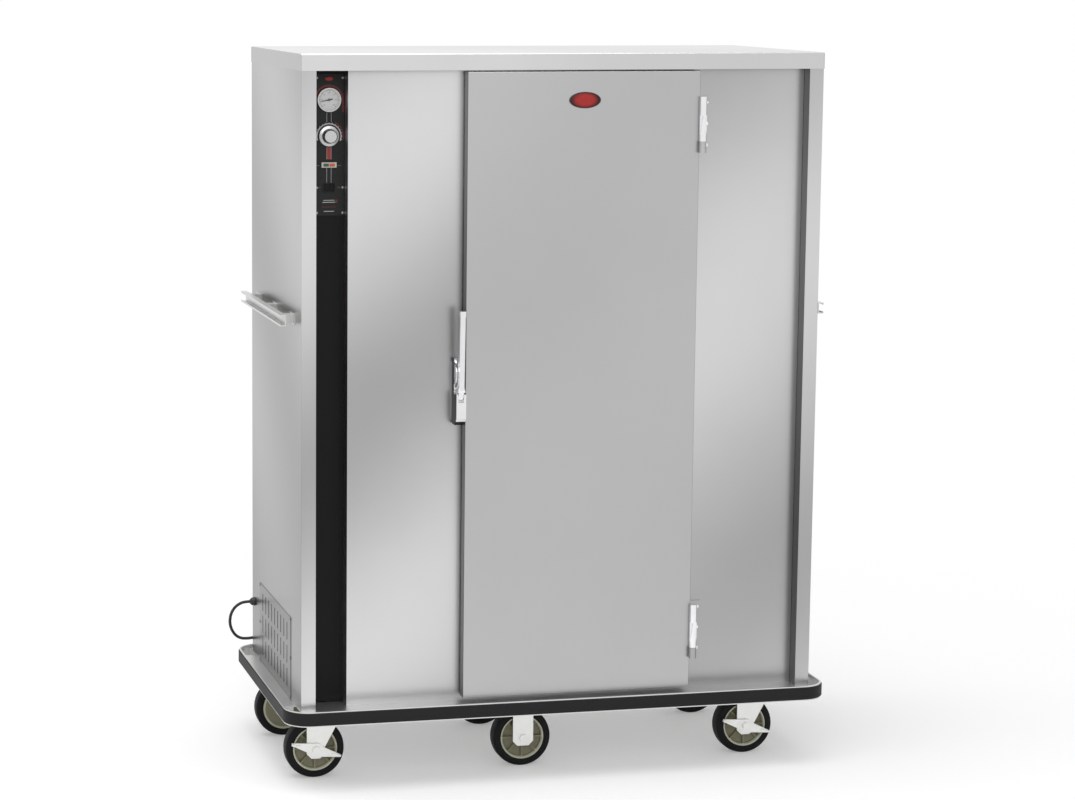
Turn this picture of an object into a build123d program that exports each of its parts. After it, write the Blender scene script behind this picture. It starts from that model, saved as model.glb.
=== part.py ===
from build123d import *
import math
import os

os.makedirs("parts", exist_ok=True)

# Driving dimensions, in millimetres. The front faces -Y, the hinge side is +X, the floor is z = 0.
body_width = 1345
body_depth = 675
total_height = 1838
base_height = 204
sheet = 1.2
post_width = 37
frame_recess = 39
column_recess = 84
column_width = 87
cap_flange = 41
bumper_reach = 41
bumper_radius = 65
bumper_bottom = 173
bumper_height = 38
wheel_radius = 76.2
wheel_track = 206
swivel_x = 576
swivel_trail = 37
rigid_x = -67
door_width = 600
door_height = 1576
door_centre = 45.5
door_bottom = 217.5
door_depth = 30.5
opening_width = 556
opening_height = 1532
cord_diameter = 8

# Planes and edges that several pieces share
side_x = body_width / 2
front_y = -body_depth / 2
back_y = body_depth / 2
skin_x = side_x - sheet
skin_front = front_y + sheet
skin_back = back_y - sheet
cap_bottom = total_height - cap_flange
wall_top = total_height - sheet
frame_y = front_y + frame_recess
column_y = front_y + column_recess
column_right = -skin_x + post_width + column_width
column_x = column_right - column_width / 2
panel_x = column_right - 38.6
opening_bottom = door_bottom + (door_height - opening_height) / 2
opening_middle = opening_bottom + opening_height / 2
door_left = door_centre - door_width / 2
door_right = door_centre + door_width / 2
door_front = front_y + 1
door_back = door_front + door_depth

# Base frame: a flat welded deck whose flanges reach out to the bumper, with its corners left open,
# and three hat channels across it over the casters.
flange_reach = 34
flange_half_length = 275
deck_thickness = 3
channel_width = 110
channel_height = 22
channel_length = 490
caster_lines = (-swivel_x, rigid_x, swivel_x)

with BuildPart() as base_frame:
    with BuildSketch(Plane.XY.offset(base_height - deck_thickness)):
        Rectangle(2 * skin_x, body_depth + 2 * flange_reach)
        Rectangle(body_width + 2 * flange_reach, 2 * flange_half_length)
        ring_radius = bumper_radius - bumper_reach + flange_reach
        ring_width = body_width + 2 * flange_reach
        RectangleRounded(ring_width, body_depth + 2 * flange_reach, ring_radius, mode=Mode.INTERSECT)
    extrude(amount=deck_thickness)
    with BuildSketch(Plane.XY.offset(base_height)):
        with Locations([(x, 0) for x in caster_lines]):
            Rectangle(channel_width, channel_length)
    extrude(amount=channel_height)
    with BuildSketch(Plane.XY.offset(base_height)):
        with Locations([(x, 0) for x in caster_lines]):
            Rectangle(channel_width - 2 * deck_thickness, channel_length)
    extrude(amount=channel_height - deck_thickness, mode=Mode.SUBTRACT)
base_frame.part.label = "base_frame"
export_step(base_frame.part, "parts/base_frame.step")

# Bumper: an extruded channel bent round the base, with a rubber strip held between its lips.
web_thickness = 2.5
lip_reach = 38.5
strip_inset = 2.5
strip_fillet = 3.2


def ring(outer_reach, inner_reach):
    """A rounded rectangle ring whose edges stand off the body by the two reaches."""
    for reach, kind in ((outer_reach, Mode.ADD), (inner_reach, Mode.SUBTRACT)):
        radius = bumper_radius - bumper_reach + reach
        RectangleRounded(body_width + 2 * reach, body_depth + 2 * reach, radius, mode=kind)


with BuildPart() as bumper_track:
    with BuildSketch(Plane.XY.offset(bumper_bottom)):
        ring(flange_reach + web_thickness, flange_reach)
    extrude(amount=bumper_height)
    for lip_bottom in (bumper_bottom, bumper_bottom + bumper_height - strip_inset):
        with BuildSketch(Plane.XY.offset(lip_bottom)):
            ring(lip_reach, flange_reach + web_thickness - 0.5)
        extrude(amount=strip_inset)
bumper_track.part.label = "bumper_track"
export_step(bumper_track.part, "parts/bumper_track.step")

with BuildPart() as bumper_strip:
    with BuildSketch(Plane.XY.offset(bumper_bottom + strip_inset)):
        ring(bumper_reach, flange_reach + web_thickness)
    extrude(amount=bumper_height - 2 * strip_inset)
    strip_ends = bumper_strip.faces().sort_by(Axis.Z)
    chamfer(strip_ends[0].outer_wire().edges() + strip_ends[-1].outer_wire().edges(), 2.2)
bumper_strip.part.label = "bumper_strip"
export_step(bumper_strip.part, "parts/bumper_strip.step")

# Swivel caster tops: each plate is bolted up under the deck and carries the upper race and the kingpin.
plate_top = base_height - deck_thickness
plate_length = 100
plate_depth = 86
plate_thickness = 5
race_radius = 34
race_height = 7
kingpin_radius = 8
kingpin_head_radius = 12
fork_top = plate_top - plate_thickness - race_height - 0.5
fork_plate = 6.5
kingpin_bottom = fork_top - fork_plate - 4.5
plate_corner = 5
swivels = {
    "fl": (-swivel_x, -wheel_track, -1),
    "fr": (swivel_x, -wheel_track, -1),
    "rl": (-swivel_x, wheel_track, 1),
    "rr": (swivel_x, wheel_track, 1),
}

with BuildPart() as caster_plates:
    with BuildSketch(Plane.XY.offset(plate_top - plate_thickness)):
        with GridLocations(2 * swivel_x, 2 * wheel_track, 2, 2):
            plate = Rectangle(plate_length, plate_depth)
        chamfer(plate.vertices(), plate_corner)
    extrude(amount=plate_thickness)
    with BuildSketch(Plane.XY.offset(plate_top - plate_thickness)):
        with GridLocations(2 * swivel_x, 2 * wheel_track, 2, 2):
            Circle(race_radius)
    extrude(amount=-race_height)
    with BuildSketch(Plane.XY.offset(plate_top - plate_thickness - race_height)):
        with GridLocations(2 * swivel_x, 2 * wheel_track, 2, 2):
            Circle(kingpin_radius)
    extrude(amount=kingpin_bottom - (plate_top - plate_thickness - race_height))
    with BuildSketch(Plane.XY.offset(kingpin_bottom)):
        with GridLocations(2 * swivel_x, 2 * wheel_track, 2, 2):
            RegularPolygon(kingpin_head_radius, 6)
    extrude(amount=4)
caster_plates.part.label = "caster_plates"
export_step(caster_plates.part, "parts/caster_plates.step")

# Swivel forks: one stamping with two tapering legs, bored for the kingpin, and a through axle with its nuts.
leg_inner = 27
leg_thickness = 4
axle_radius = 6
axle_bore = 6.06
axle_boss = 23.5
leg_outer = leg_inner + leg_thickness
lever_gap = 1.3
lever_thickness = 3.5
nut_height = 6
leg_corner = 11
running_gap = 0.06

for place, (pivot_x, pivot_y, outward) in swivels.items():
    axle_x = pivot_x - swivel_trail
    with BuildPart() as fork:
        with BuildSketch(Plane.XZ.offset(-pivot_y)):
            with BuildLine():
                Polyline(
                    (axle_x - axle_boss, wheel_radius - leg_corner),
                    (axle_x - axle_boss, fork_top),
                    (pivot_x + race_radius + 2, fork_top),
                    (pivot_x + race_radius + 2, fork_top - 14),
                    (axle_x + axle_boss, wheel_radius + 6),
                    (axle_x + axle_boss, wheel_radius - leg_corner),
                    (axle_x + leg_corner, wheel_radius - axle_boss),
                    (axle_x - leg_corner, wheel_radius - axle_boss),
                    (axle_x - axle_boss, wheel_radius - leg_corner),
                )
            make_face()
        extrude(amount=leg_outer, both=True)
        with BuildSketch(Plane.XZ.offset(-pivot_y)):
            with Locations((pivot_x, fork_top - fork_plate - 100)):
                Rectangle(400, 200)
        extrude(amount=leg_inner, both=True, mode=Mode.SUBTRACT)
        with BuildSketch(Plane.XY.offset(fork_top)):
            with Locations((pivot_x, pivot_y)):
                Circle(kingpin_radius + running_gap)
        extrude(amount=-20, mode=Mode.SUBTRACT)
        with BuildSketch(Plane.XZ.offset(-pivot_y)):
            with Locations((axle_x, wheel_radius)):
                Circle(axle_radius)
        extrude(amount=leg_inner + 1, both=True)
        outer_side = Plane(origin=(axle_x, pivot_y + outward * leg_outer, wheel_radius), z_dir=(0, outward, 0))
        lever_seat = lever_gap + lever_thickness + 0.3
        with BuildSketch(outer_side):
            Circle(axle_radius)
        extrude(amount=lever_seat)
        for nut_plane in (outer_side.offset(lever_seat), outer_side.offset(-2 * leg_outer - nut_height)):
            with BuildSketch(nut_plane):
                RegularPolygon(10.5, 6)
            extrude(amount=nut_height)
    fork.part.label = f"fork_{place}"
    export_step(fork.part, f"parts/fork_{place}.step")

# Brake levers: a stamped bow tie on the outer end of each swivel axle, its tips turned out as pedals.
lever_reach = 66
lever_tilt = 15
lever_hub = 18
pedal_depth = 9

for place, (pivot_x, pivot_y, outward) in swivels.items():
    axle_x = pivot_x - swivel_trail
    lever_y = pivot_y + outward * (leg_outer + lever_gap)
    tilt = math.radians(lever_tilt)
    lever_axis = (math.cos(tilt), 0, -math.sin(tilt))
    lever_plane = Plane(origin=(axle_x, lever_y, wheel_radius), x_dir=lever_axis, z_dir=(0, outward, 0))
    with BuildPart() as brake:
        with BuildSketch(lever_plane):
            Circle(lever_hub)
            for side in (1, -1):
                with BuildLine():
                    Polyline((0, 15 * side), (lever_reach * side, 2 * side), (lever_reach * side, -4 * side),
                             (12 * side, -15 * side), (0, 15 * side))
                make_face()
            Circle(axle_radius + running_gap, mode=Mode.SUBTRACT)
        extrude(amount=lever_thickness)
        with BuildSketch(lever_plane):
            with GridLocations(2 * lever_reach - 22, 0, 2, 1):
                Rectangle(22, 4)
        extrude(amount=pedal_depth)
    brake.part.label = f"brake_{place}"
    export_step(brake.part, f"parts/brake_{place}.step")

# Rigid casters: a straight fork pressed in one piece with its top plate, with a through axle.
rigid_half = 27
rigid_bottom = wheel_radius - 20

with BuildPart() as rigid_casters:
    for line_y in (-wheel_track, wheel_track):
        with BuildSketch(Plane.XZ.offset(-line_y)):
            with Locations((rigid_x, (plate_top + rigid_bottom) / 2)):
                rigid_leg = Rectangle(2 * rigid_half, plate_top - rigid_bottom)
            chamfer(rigid_leg.vertices().group_by(Axis.Z)[0], 12)
        extrude(amount=leg_outer, both=True)
        with BuildSketch(Plane.XZ.offset(-line_y)):
            with Locations((rigid_x, plate_top - plate_thickness - 100)):
                Rectangle(400, 200)
        extrude(amount=leg_inner, both=True, mode=Mode.SUBTRACT)
        with BuildSketch(Plane.XY.offset(plate_top)):
            with Locations((rigid_x, line_y)):
                plate = Rectangle(plate_length, plate_depth)
            chamfer(plate.vertices(), plate_corner)
        extrude(amount=-plate_thickness)
        with BuildSketch(Plane.XZ.offset(-line_y)):
            with Locations((rigid_x, wheel_radius)):
                RegularPolygon(10.5, 6)
        extrude(amount=leg_outer + nut_height, both=True)
        with BuildSketch(Plane.XZ.offset(-line_y)):
            with Locations((rigid_x, wheel_radius)):
                Rectangle(30, 30)
        extrude(amount=leg_inner, both=True, mode=Mode.SUBTRACT)
        with BuildSketch(Plane.XZ.offset(-line_y)):
            with Locations((rigid_x, wheel_radius)):
                Circle(axle_radius)
        extrude(amount=leg_inner + 1, both=True)
rigid_casters.part.label = "rigid_casters"
export_step(rigid_casters.part, "parts/rigid_casters.step")

# Wheels: a dished core with a rubber tyre moulded on it. Eight ribs stiffen the dish on the outer side.
hub_half = 26.4
hub_radius = 18
rim_outer = 57
rim_inner = 52
dish_depth = 9
rib_thickness = 4
rib_count = 8
wheels = {
    "fl": (-swivel_x - swivel_trail, -wheel_track, -1),
    "fm": (rigid_x, -wheel_track, -1),
    "fr": (swivel_x - swivel_trail, -wheel_track, -1),
    "rl": (-swivel_x - swivel_trail, wheel_track, 1),
    "rm": (rigid_x, wheel_track, 1),
    "rr": (swivel_x - swivel_trail, wheel_track, 1),
}

for place, (axle_x, axle_y, outward) in wheels.items():
    axle_plane = Plane(origin=(axle_x, axle_y, wheel_radius), x_dir=(1, 0, 0), z_dir=(0, outward, 0))
    profile_plane = Plane(origin=axle_plane.origin, x_dir=axle_plane.x_dir, z_dir=-axle_plane.y_dir)
    with BuildPart() as wheel:
        with BuildSketch(profile_plane):
            with BuildLine():
                Polyline(
                    (axle_bore, -hub_half), (rim_outer, -20), (wheel_radius, -16), (wheel_radius, 16),
                    (rim_outer, 22), (rim_inner, 22), (rim_inner, dish_depth), (hub_radius, dish_depth),
                    (hub_radius, hub_half), (axle_bore, hub_half), (axle_bore, -hub_half),
                )
            make_face()
        revolve(axis=Axis(axle_plane.origin, axle_plane.z_dir))
        with BuildSketch(axle_plane.offset(dish_depth)):
            with PolarLocations((hub_radius + rim_inner) / 2, rib_count):
                Rectangle(rim_inner - hub_radius + 2, rib_thickness)
        extrude(amount=10)
    wheel.part.label = f"wheel_{place}"
    export_step(wheel.part, f"parts/wheel_{place}.step")

# Side panels: each is one bent sheet with the front post and its return, the outer skin and a back flange.
back_flange = 20
vent_width = 430
vent_height = 210
vent_y = 10
vent_z = 310
panel_bottom = base_height
gland_y = 304
gland_z = 345
gland_hole = 8.3


for side, name, return_depth in ((-1, "left_side_panel", column_recess), (1, "right_side_panel", frame_recess)):
    outer = side * skin_x
    post = side * (skin_x - post_width)
    with BuildPart() as side_panel:
        with BuildSketch(Plane.XY.offset(panel_bottom)):
            with BuildLine():
                bend = Polyline(
                    (post, front_y + return_depth), (post, skin_front), (outer, skin_front),
                    (outer, skin_back), (outer - side * back_flange, skin_back),
                )
                offset(bend, amount=sheet, side=Side.RIGHT if side < 0 else Side.LEFT)
            make_face()
        extrude(amount=wall_top - panel_bottom)
        if side < 0:
            with BuildSketch(Plane.YZ.offset(-side_x - 1)):
                with Locations((vent_y, vent_z)):
                    Rectangle(vent_width - 24, vent_height - 24)
                with Locations((gland_y, gland_z)):
                    Circle(gland_hole)
            extrude(amount=4, mode=Mode.SUBTRACT)
    side_panel.part.label = name
    export_step(side_panel.part, f"parts/{name}.step")

# Vent panel: a screwed cover low on the left side with rows of upright slots.
slot_width = 7
slot_height = 46

with BuildPart() as vent_panel:
    with BuildSketch(Plane.YZ.offset(-side_x)):
        with Locations((vent_y, vent_z)):
            Rectangle(vent_width, vent_height)
            with GridLocations(42, 60, 9, 3):
                Rectangle(slot_width, slot_height, mode=Mode.SUBTRACT)
    extrude(amount=sheet)
vent_panel.part.label = "vent_panel"
export_step(vent_panel.part, "parts/vent_panel.step")

# Back panel: a pan between the side panels, its edges turned forward.
back_width = 2 * (skin_x - sheet)

with BuildPart() as back_panel:
    with BuildSketch(Plane.XY.offset(panel_bottom)):
        with Locations((0, skin_back - sheet - 8)):
            Rectangle(back_width, 16)
        with Locations((0, skin_back - sheet - 16)):
            Rectangle(back_width - 2 * sheet, 32 - 2 * sheet, mode=Mode.SUBTRACT)
    extrude(amount=wall_top - panel_bottom)
back_panel.part.label = "back_panel"
export_step(back_panel.part, "parts/back_panel.step")

# Top cap: a shallow lid with its edge turned down all round.
with BuildPart() as top_cap:
    with BuildSketch(Plane.XY.offset(cap_bottom)):
        Rectangle(body_width, body_depth)
    extrude(amount=cap_flange)
    fillet(top_cap.edges().group_by(Axis.Z)[-1], 3)
    with BuildSketch(Plane.XY.offset(cap_bottom)):
        Rectangle(2 * skin_x, 2 * skin_back)
    extrude(amount=cap_flange - sheet, mode=Mode.SUBTRACT)
top_cap.part.label = "top_cap"
export_step(top_cap.part, "parts/top_cap.step")

# Front frame: the recessed face round the door opening, with the opening's throat bent back into the
# wall and a deep return beside the control column.
frame_right = skin_x - post_width
throat_depth = column_recess - frame_recess

with BuildPart() as front_frame:
    with BuildSketch(Plane.XZ.offset(-frame_y)):
        with Locations(((column_right + frame_right) / 2, (panel_bottom + wall_top) / 2)):
            Rectangle(frame_right - column_right, wall_top - panel_bottom)
    extrude(amount=-sheet)
    with BuildSketch(Plane.XZ.offset(-frame_y)):
        with Locations((column_right + sheet / 2, (panel_bottom + wall_top) / 2)):
            Rectangle(sheet, wall_top - panel_bottom)
        with Locations((door_centre, opening_middle)):
            Rectangle(opening_width + 2 * sheet, opening_height + 2 * sheet)
    extrude(amount=-throat_depth)
    with BuildSketch(Plane.XZ.offset(-frame_y)):
        with Locations((door_centre, opening_middle)):
            Rectangle(opening_width, opening_height)
    extrude(amount=-throat_depth - 1, mode=Mode.SUBTRACT)
front_frame.part.label = "front_frame"
export_step(front_frame.part, "parts/front_frame.step")

# Liner: flat sheets that line the heated cavity, with a fine seam where two meet, and the inner face of
# the front.
liner_sheet = 1
liner_seam = 0.2
cavity_left = column_right + 39
cavity_right = frame_right - 37
cavity_back = back_y - 38
cavity_front = column_y + liner_sheet
cavity_floor = opening_bottom - 8
cavity_top = opening_bottom + opening_height + 8
cavity_width = cavity_right - cavity_left
cavity_depth = cavity_back - cavity_front
cavity_x = (cavity_left + cavity_right) / 2
cavity_y = (cavity_front + cavity_back) / 2
cavity_z = (cavity_floor + cavity_top) / 2
cavity_height = cavity_top - cavity_floor
fan_y = 40
fan_z = 400
fan_shaft_radius = 4
opening_left = door_centre - opening_width / 2
opening_right = door_centre + opening_width / 2
opening_top = opening_bottom + opening_height

with BuildPart() as liner:
    for wall_x in (cavity_left - liner_sheet, cavity_right):
        with BuildSketch(Plane.YZ.offset(wall_x)):
            with Locations((cavity_y, cavity_z)):
                Rectangle(cavity_depth - 2 * liner_seam, cavity_height - 2 * liner_seam)
            if wall_x < 0:
                with Locations((fan_y, fan_z)):
                    Circle(fan_shaft_radius + 3, mode=Mode.SUBTRACT)
        extrude(amount=liner_sheet)
    with BuildSketch(Plane.XZ.offset(-cavity_back)):
        with Locations((cavity_x, cavity_z)):
            Rectangle(cavity_width + 2 * liner_sheet, cavity_height - 2 * liner_seam)
    extrude(amount=-liner_sheet)
    for wall_z in (cavity_floor - liner_sheet, cavity_top):
        with BuildSketch(Plane.XY.offset(wall_z)):
            with Locations((cavity_x, cavity_y)):
                Rectangle(cavity_width + 2 * liner_sheet, cavity_depth + 2 * liner_sheet)
        extrude(amount=liner_sheet)
    front_strips = (
        (cavity_left - liner_sheet, opening_left, cavity_floor, cavity_top),
        (opening_right, cavity_right + liner_sheet, cavity_floor, cavity_top),
        (opening_left, opening_right, cavity_floor, opening_bottom),
        (opening_left, opening_right, opening_top, cavity_top),
    )
    for left, right, low, high in front_strips:
        with BuildSketch(Plane.XZ.offset(-cavity_front + liner_sheet)):
            with Locations(((left + right) / 2, (low + high) / 2)):
                Rectangle(right - left - 2 * liner_seam, high - low - 2 * liner_seam)
        extrude(amount=-liner_sheet)
liner.part.label = "liner"
export_step(liner.part, "parts/liner.step")

# Insulation: slabs between the outer skins and the liner.
slab_front = cavity_front + 1
slab_back = cavity_back - 1
slab_bottom = base_height + 1
floor_gaps = (
    (cavity_left, rigid_x - channel_width / 2),
    (rigid_x + channel_width / 2, swivel_x - channel_width / 2),
)

with BuildPart() as insulation:
    with Locations(((column_right + frame_right) / 2, cavity_y, (cavity_top + liner_sheet + wall_top) / 2)):
        Box(frame_right - column_right - 4, slab_back - slab_front, wall_top - cavity_top - liner_sheet - 2)
    with Locations((cavity_x, (cavity_back + liner_sheet + skin_back - 18) / 2, cavity_z)):
        Box(cavity_width, skin_back - 18 - cavity_back - liner_sheet, cavity_height)
    with Locations(((cavity_right + liner_sheet + skin_x - sheet) / 2, cavity_y, cavity_z)):
        Box(skin_x - sheet - cavity_right - liner_sheet - 1, slab_back - slab_front, cavity_height - 4)
    with Locations(((cavity_left - liner_sheet + column_right) / 2, cavity_y, cavity_z)):
        Box(cavity_left - liner_sheet - column_right - 2, slab_back - slab_front, cavity_height - 4)
    with Locations((cavity_left - liner_sheet - 20, fan_y, fan_z)):
        Box(60, 126, 84, mode=Mode.SUBTRACT)
    for low_x, high_x in floor_gaps:
        with Locations(((low_x + high_x) / 2, cavity_y, (slab_bottom + cavity_floor - liner_sheet) / 2)):
            Box(high_x - low_x - 2, slab_back - slab_front, cavity_floor - liner_sheet - slab_bottom - 1)
insulation.part.label = "insulation"
export_step(insulation.part, "parts/insulation.step")

# Shelves: four welded grids, each lying on a ledge at either side wall.
shelf_levels = (575, 865, 1155, 1445)
shelf_thickness = 6
shelf_front = cavity_front + 12
shelf_back = cavity_back - 10
shelf_width = cavity_width - 8
bar_count = 12
bar_width = 7
ledge = 24
shelf_pitch = (shelf_width - bar_width) / (bar_count - 1)
shelf_mid_y = (shelf_front + shelf_back) / 2
bar_length = (shelf_back - shelf_front - 3 * 9) / 2

with BuildPart() as wire_shelves:
    for level in shelf_levels:
        with BuildSketch(Plane.XY.offset(level)):
            with Locations((cavity_x, shelf_mid_y)):
                Rectangle(shelf_width, shelf_back - shelf_front)
                with GridLocations(shelf_pitch, bar_length + 9, bar_count - 1, 2):
                    Rectangle(shelf_pitch - bar_width, bar_length, mode=Mode.SUBTRACT)
        extrude(amount=shelf_thickness)
wire_shelves.part.label = "wire_shelves"
export_step(wire_shelves.part, "parts/wire_shelves.step")

with BuildPart() as shelf_supports:
    for level in shelf_levels:
        for wall_x, inward in ((cavity_left, 1), (cavity_right, -1)):
            with BuildSketch(Plane.XZ.offset(-shelf_front)):
                with BuildLine():
                    Polyline(
                        (wall_x, level), (wall_x + inward * ledge, level), (wall_x + inward * ledge, level - 2),
                        (wall_x + inward * 2, level - 2), (wall_x + inward * 2, level - ledge),
                        (wall_x, level - ledge), (wall_x, level),
                    )
                make_face()
            extrude(amount=-(shelf_back - shelf_front))
shelf_supports.part.label = "shelf_supports"
export_step(shelf_supports.part, "parts/shelf_supports.step")

# Heater: a blower and two strip elements under a slotted cover low on the left inner wall.
cover_depth = 78
cover_width = 330
cover_height = 280
cover_wall = 1.2
fan_x = cavity_left + 26
blade_count = 5

with BuildPart() as heater_cover:
    with BuildSketch(Plane.YZ.offset(cavity_left)):
        with Locations((fan_y, fan_z)):
            Rectangle(cover_width, cover_height)
    extrude(amount=cover_depth)
    with BuildSketch(Plane.YZ.offset(cavity_left)):
        with Locations((fan_y, fan_z)):
            Rectangle(cover_width - 2 * cover_wall, cover_height - 2 * cover_wall)
    extrude(amount=cover_depth - cover_wall, mode=Mode.SUBTRACT)
    with BuildSketch(Plane.YZ.offset(cavity_left + cover_depth - 4)):
        with Locations((fan_y, fan_z)):
            with GridLocations(36, 110, 8, 2):
                Rectangle(10, 80)
    extrude(amount=8, mode=Mode.SUBTRACT)
heater_cover.part.label = "heater_cover"
export_step(heater_cover.part, "parts/heater_cover.step")

with BuildPart() as heating_element:
    for strip_y in (fan_y - 110, fan_y + 110):
        with BuildSketch(Plane.YZ.offset(cavity_left + 30)):
            with Locations((strip_y, fan_z)):
                Rectangle(34, 230)
        extrude(amount=7)
        with BuildSketch(Plane.YZ.offset(cavity_left)):
            with Locations((strip_y, fan_z)):
                with GridLocations(0, 190, 1, 2):
                    RegularPolygon(4, 6)
        extrude(amount=30)
heating_element.part.label = "heating_element"
export_step(heating_element.part, "parts/heating_element.step")

with BuildPart() as fan_motor:
    with BuildSketch(Plane.YZ.offset(cavity_left - liner_sheet - 2)):
        with Locations((fan_y, fan_z)):
            Circle(34)
            Circle(fan_shaft_radius + running_gap, mode=Mode.SUBTRACT)
    extrude(amount=-32)
    with BuildSketch(Plane.YZ.offset(cavity_left - liner_sheet - 2)):
        with Locations((fan_y, fan_z)):
            Rectangle(110, 30)
            Circle(20, mode=Mode.SUBTRACT)
    extrude(amount=2)
fan_motor.part.label = "fan_motor"
export_step(fan_motor.part, "parts/fan_motor.step")

with BuildPart() as fan_rotor:
    with BuildSketch(Plane.YZ.offset(cavity_left - 30)):
        with Locations((fan_y, fan_z)):
            Circle(fan_shaft_radius)
    extrude(amount=fan_x + 12 - (cavity_left - 30))
    with BuildSketch(Plane.YZ.offset(fan_x - 12)):
        with Locations((fan_y, fan_z)):
            Circle(15)
    extrude(amount=24)
    for blade in range(blade_count):
        blade_plane = Plane(origin=(fan_x, fan_y, fan_z), x_dir=(0, 1, 0), z_dir=(1, 0, 0))
        blade_plane = blade_plane.rotated((blade * 360 / blade_count, 0, 0))
        root = Plane(origin=blade_plane.origin + blade_plane.x_dir * 12, z_dir=blade_plane.x_dir, x_dir=(1, 0, 0))
        tip = Plane(origin=blade_plane.origin + blade_plane.x_dir * 72, z_dir=blade_plane.x_dir, x_dir=(1, 0, 0))
        with BuildSketch(root):
            Rectangle(18, 2.5, rotation=40)
        with BuildSketch(tip):
            Rectangle(26, 2, rotation=68)
        loft()
fan_rotor.part.label = "fan_rotor"
export_step(fan_rotor.part, "parts/fan_rotor.step")

# Control column: a dark cover set deep beside the front frame, with the control panel on its upper end.
panel_width = 76
panel_height = 348
panel_middle = 1612
panel_plate = 1.5
panel_front = column_y - panel_plate
dial_z = 1723
knob_z = 1634
pilot_z = 1563
rocker_z = 1507
dial_hole = 24.5
rocker_width = 26
rocker_height = 18
column_height = wall_top - panel_bottom - 4


def control_holes():
    """The cut-outs that the gauge, thermostat, lamps and switch need, in the panel's sketch plane."""
    with Locations((panel_x, dial_z)):
        Circle(dial_hole, mode=Mode.SUBTRACT)
    with Locations((panel_x, knob_z)):
        Circle(5, mode=Mode.SUBTRACT)
    with Locations((panel_x, pilot_z)):
        Rectangle(33, 9, mode=Mode.SUBTRACT)
    with Locations((panel_x, rocker_z)):
        Rectangle(rocker_width + 1, rocker_height + 1, mode=Mode.SUBTRACT)


with BuildPart() as control_column:
    with BuildSketch(Plane.XZ.offset(-column_y)):
        with Locations((column_x, panel_bottom + 2 + column_height / 2)):
            Rectangle(column_width, column_height)
    extrude(amount=-8)
    with BuildSketch(Plane.XZ.offset(-column_y - sheet)):
        with Locations((column_x, panel_bottom + 2 + column_height / 2)):
            Rectangle(column_width - 2 * sheet, column_height + 2)
    extrude(amount=-14, mode=Mode.SUBTRACT)
    with BuildSketch(Plane.XZ.offset(-column_y)):
        with Locations((panel_x, panel_middle)):
            Rectangle(panel_width - 20, panel_height - 60)
    extrude(amount=-sheet, mode=Mode.SUBTRACT)
control_column.part.label = "control_column"
export_step(control_column.part, "parts/control_column.step")

with BuildPart() as control_panel:
    with BuildSketch(Plane.XZ.offset(-column_y)):
        with Locations((panel_x, panel_middle)):
            Rectangle(panel_width, panel_height)
        control_holes()
    extrude(amount=panel_plate)
    with BuildSketch(Plane.XZ.offset(-panel_front)):
        with Locations((panel_x, rocker_z)):
            Rectangle(rocker_width + 5, rocker_height + 5)
            Rectangle(rocker_width + 1, rocker_height + 1, mode=Mode.SUBTRACT)
    extrude(amount=2)
control_panel.part.label = "control_panel"
export_step(control_panel.part, "parts/control_panel.step")

# Dial thermometer: a turned case with its dial face, a needle on a centre pin, and a glass.
bezel_radius = 32
glass_seat = 27
dial_axis = Axis((panel_x, panel_front, dial_z), (0, -1, 0))

with BuildPart() as thermometer_case:
    with BuildSketch(Plane(origin=(panel_x, panel_front, dial_z), x_dir=(1, 0, 0), z_dir=(0, 0, 1))):
        with BuildLine():
            Polyline(
                (0, -1), (glass_seat, -1), (glass_seat, -5.5), (bezel_radius - 2.5, -5.5), (bezel_radius, 0), (24, 0),
                (24, 22), (0, 22), (0, -1),
            )
        make_face()
    revolve(axis=dial_axis)
    with BuildSketch(Plane.XZ.offset(-panel_front + 1)):
        with Locations((panel_x, dial_z)):
            Circle(1)
    extrude(amount=2)
thermometer_case.part.label = "thermometer_case"
export_step(thermometer_case.part, "parts/thermometer_case.step")

needle_rest = math.radians(192)
needle_axis = (math.cos(needle_rest), 0, math.sin(needle_rest))

with BuildPart() as thermometer_needle:
    with BuildSketch(Plane(origin=(panel_x, panel_front - 1.6, dial_z), x_dir=needle_axis, z_dir=(0, -1, 0))):
        with BuildLine():
            Polyline((-9, -1.2), (0, -1.6), (23, -0.3), (23, 0.3), (0, 1.6), (-9, 1.2), (-9, -1.2))
        make_face()
        Circle(3.2)
        Circle(1 + running_gap, mode=Mode.SUBTRACT)
    extrude(amount=0.7)
thermometer_needle.part.label = "thermometer_needle"
export_step(thermometer_needle.part, "parts/thermometer_needle.step")

with BuildPart() as thermometer_glass:
    with BuildSketch(Plane.XZ.offset(-panel_front + 3.4)):
        with Locations((panel_x, dial_z)):
            Circle(glass_seat - 0.2)
    extrude(amount=1.2)
thermometer_glass.part.label = "thermometer_glass"
export_step(thermometer_glass.part, "parts/thermometer_glass.step")

# Thermostat: a body behind the column, and a turned knob with a skirt and a many-sided grip.
shaft_radius = 3
knob_gap = 0.5
knob_flats = 16

with BuildPart() as thermostat_body:
    with Locations((panel_x, column_y + sheet + 22, knob_z)):
        Box(44, 40, 52)
    with BuildSketch(Plane.XZ.offset(-panel_front)):
        with Locations((panel_x, knob_z)):
            Circle(shaft_radius + running_gap)
    extrude(amount=-20, mode=Mode.SUBTRACT)
thermostat_body.part.label = "thermostat_body"
export_step(thermostat_body.part, "parts/thermostat_body.step")

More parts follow.
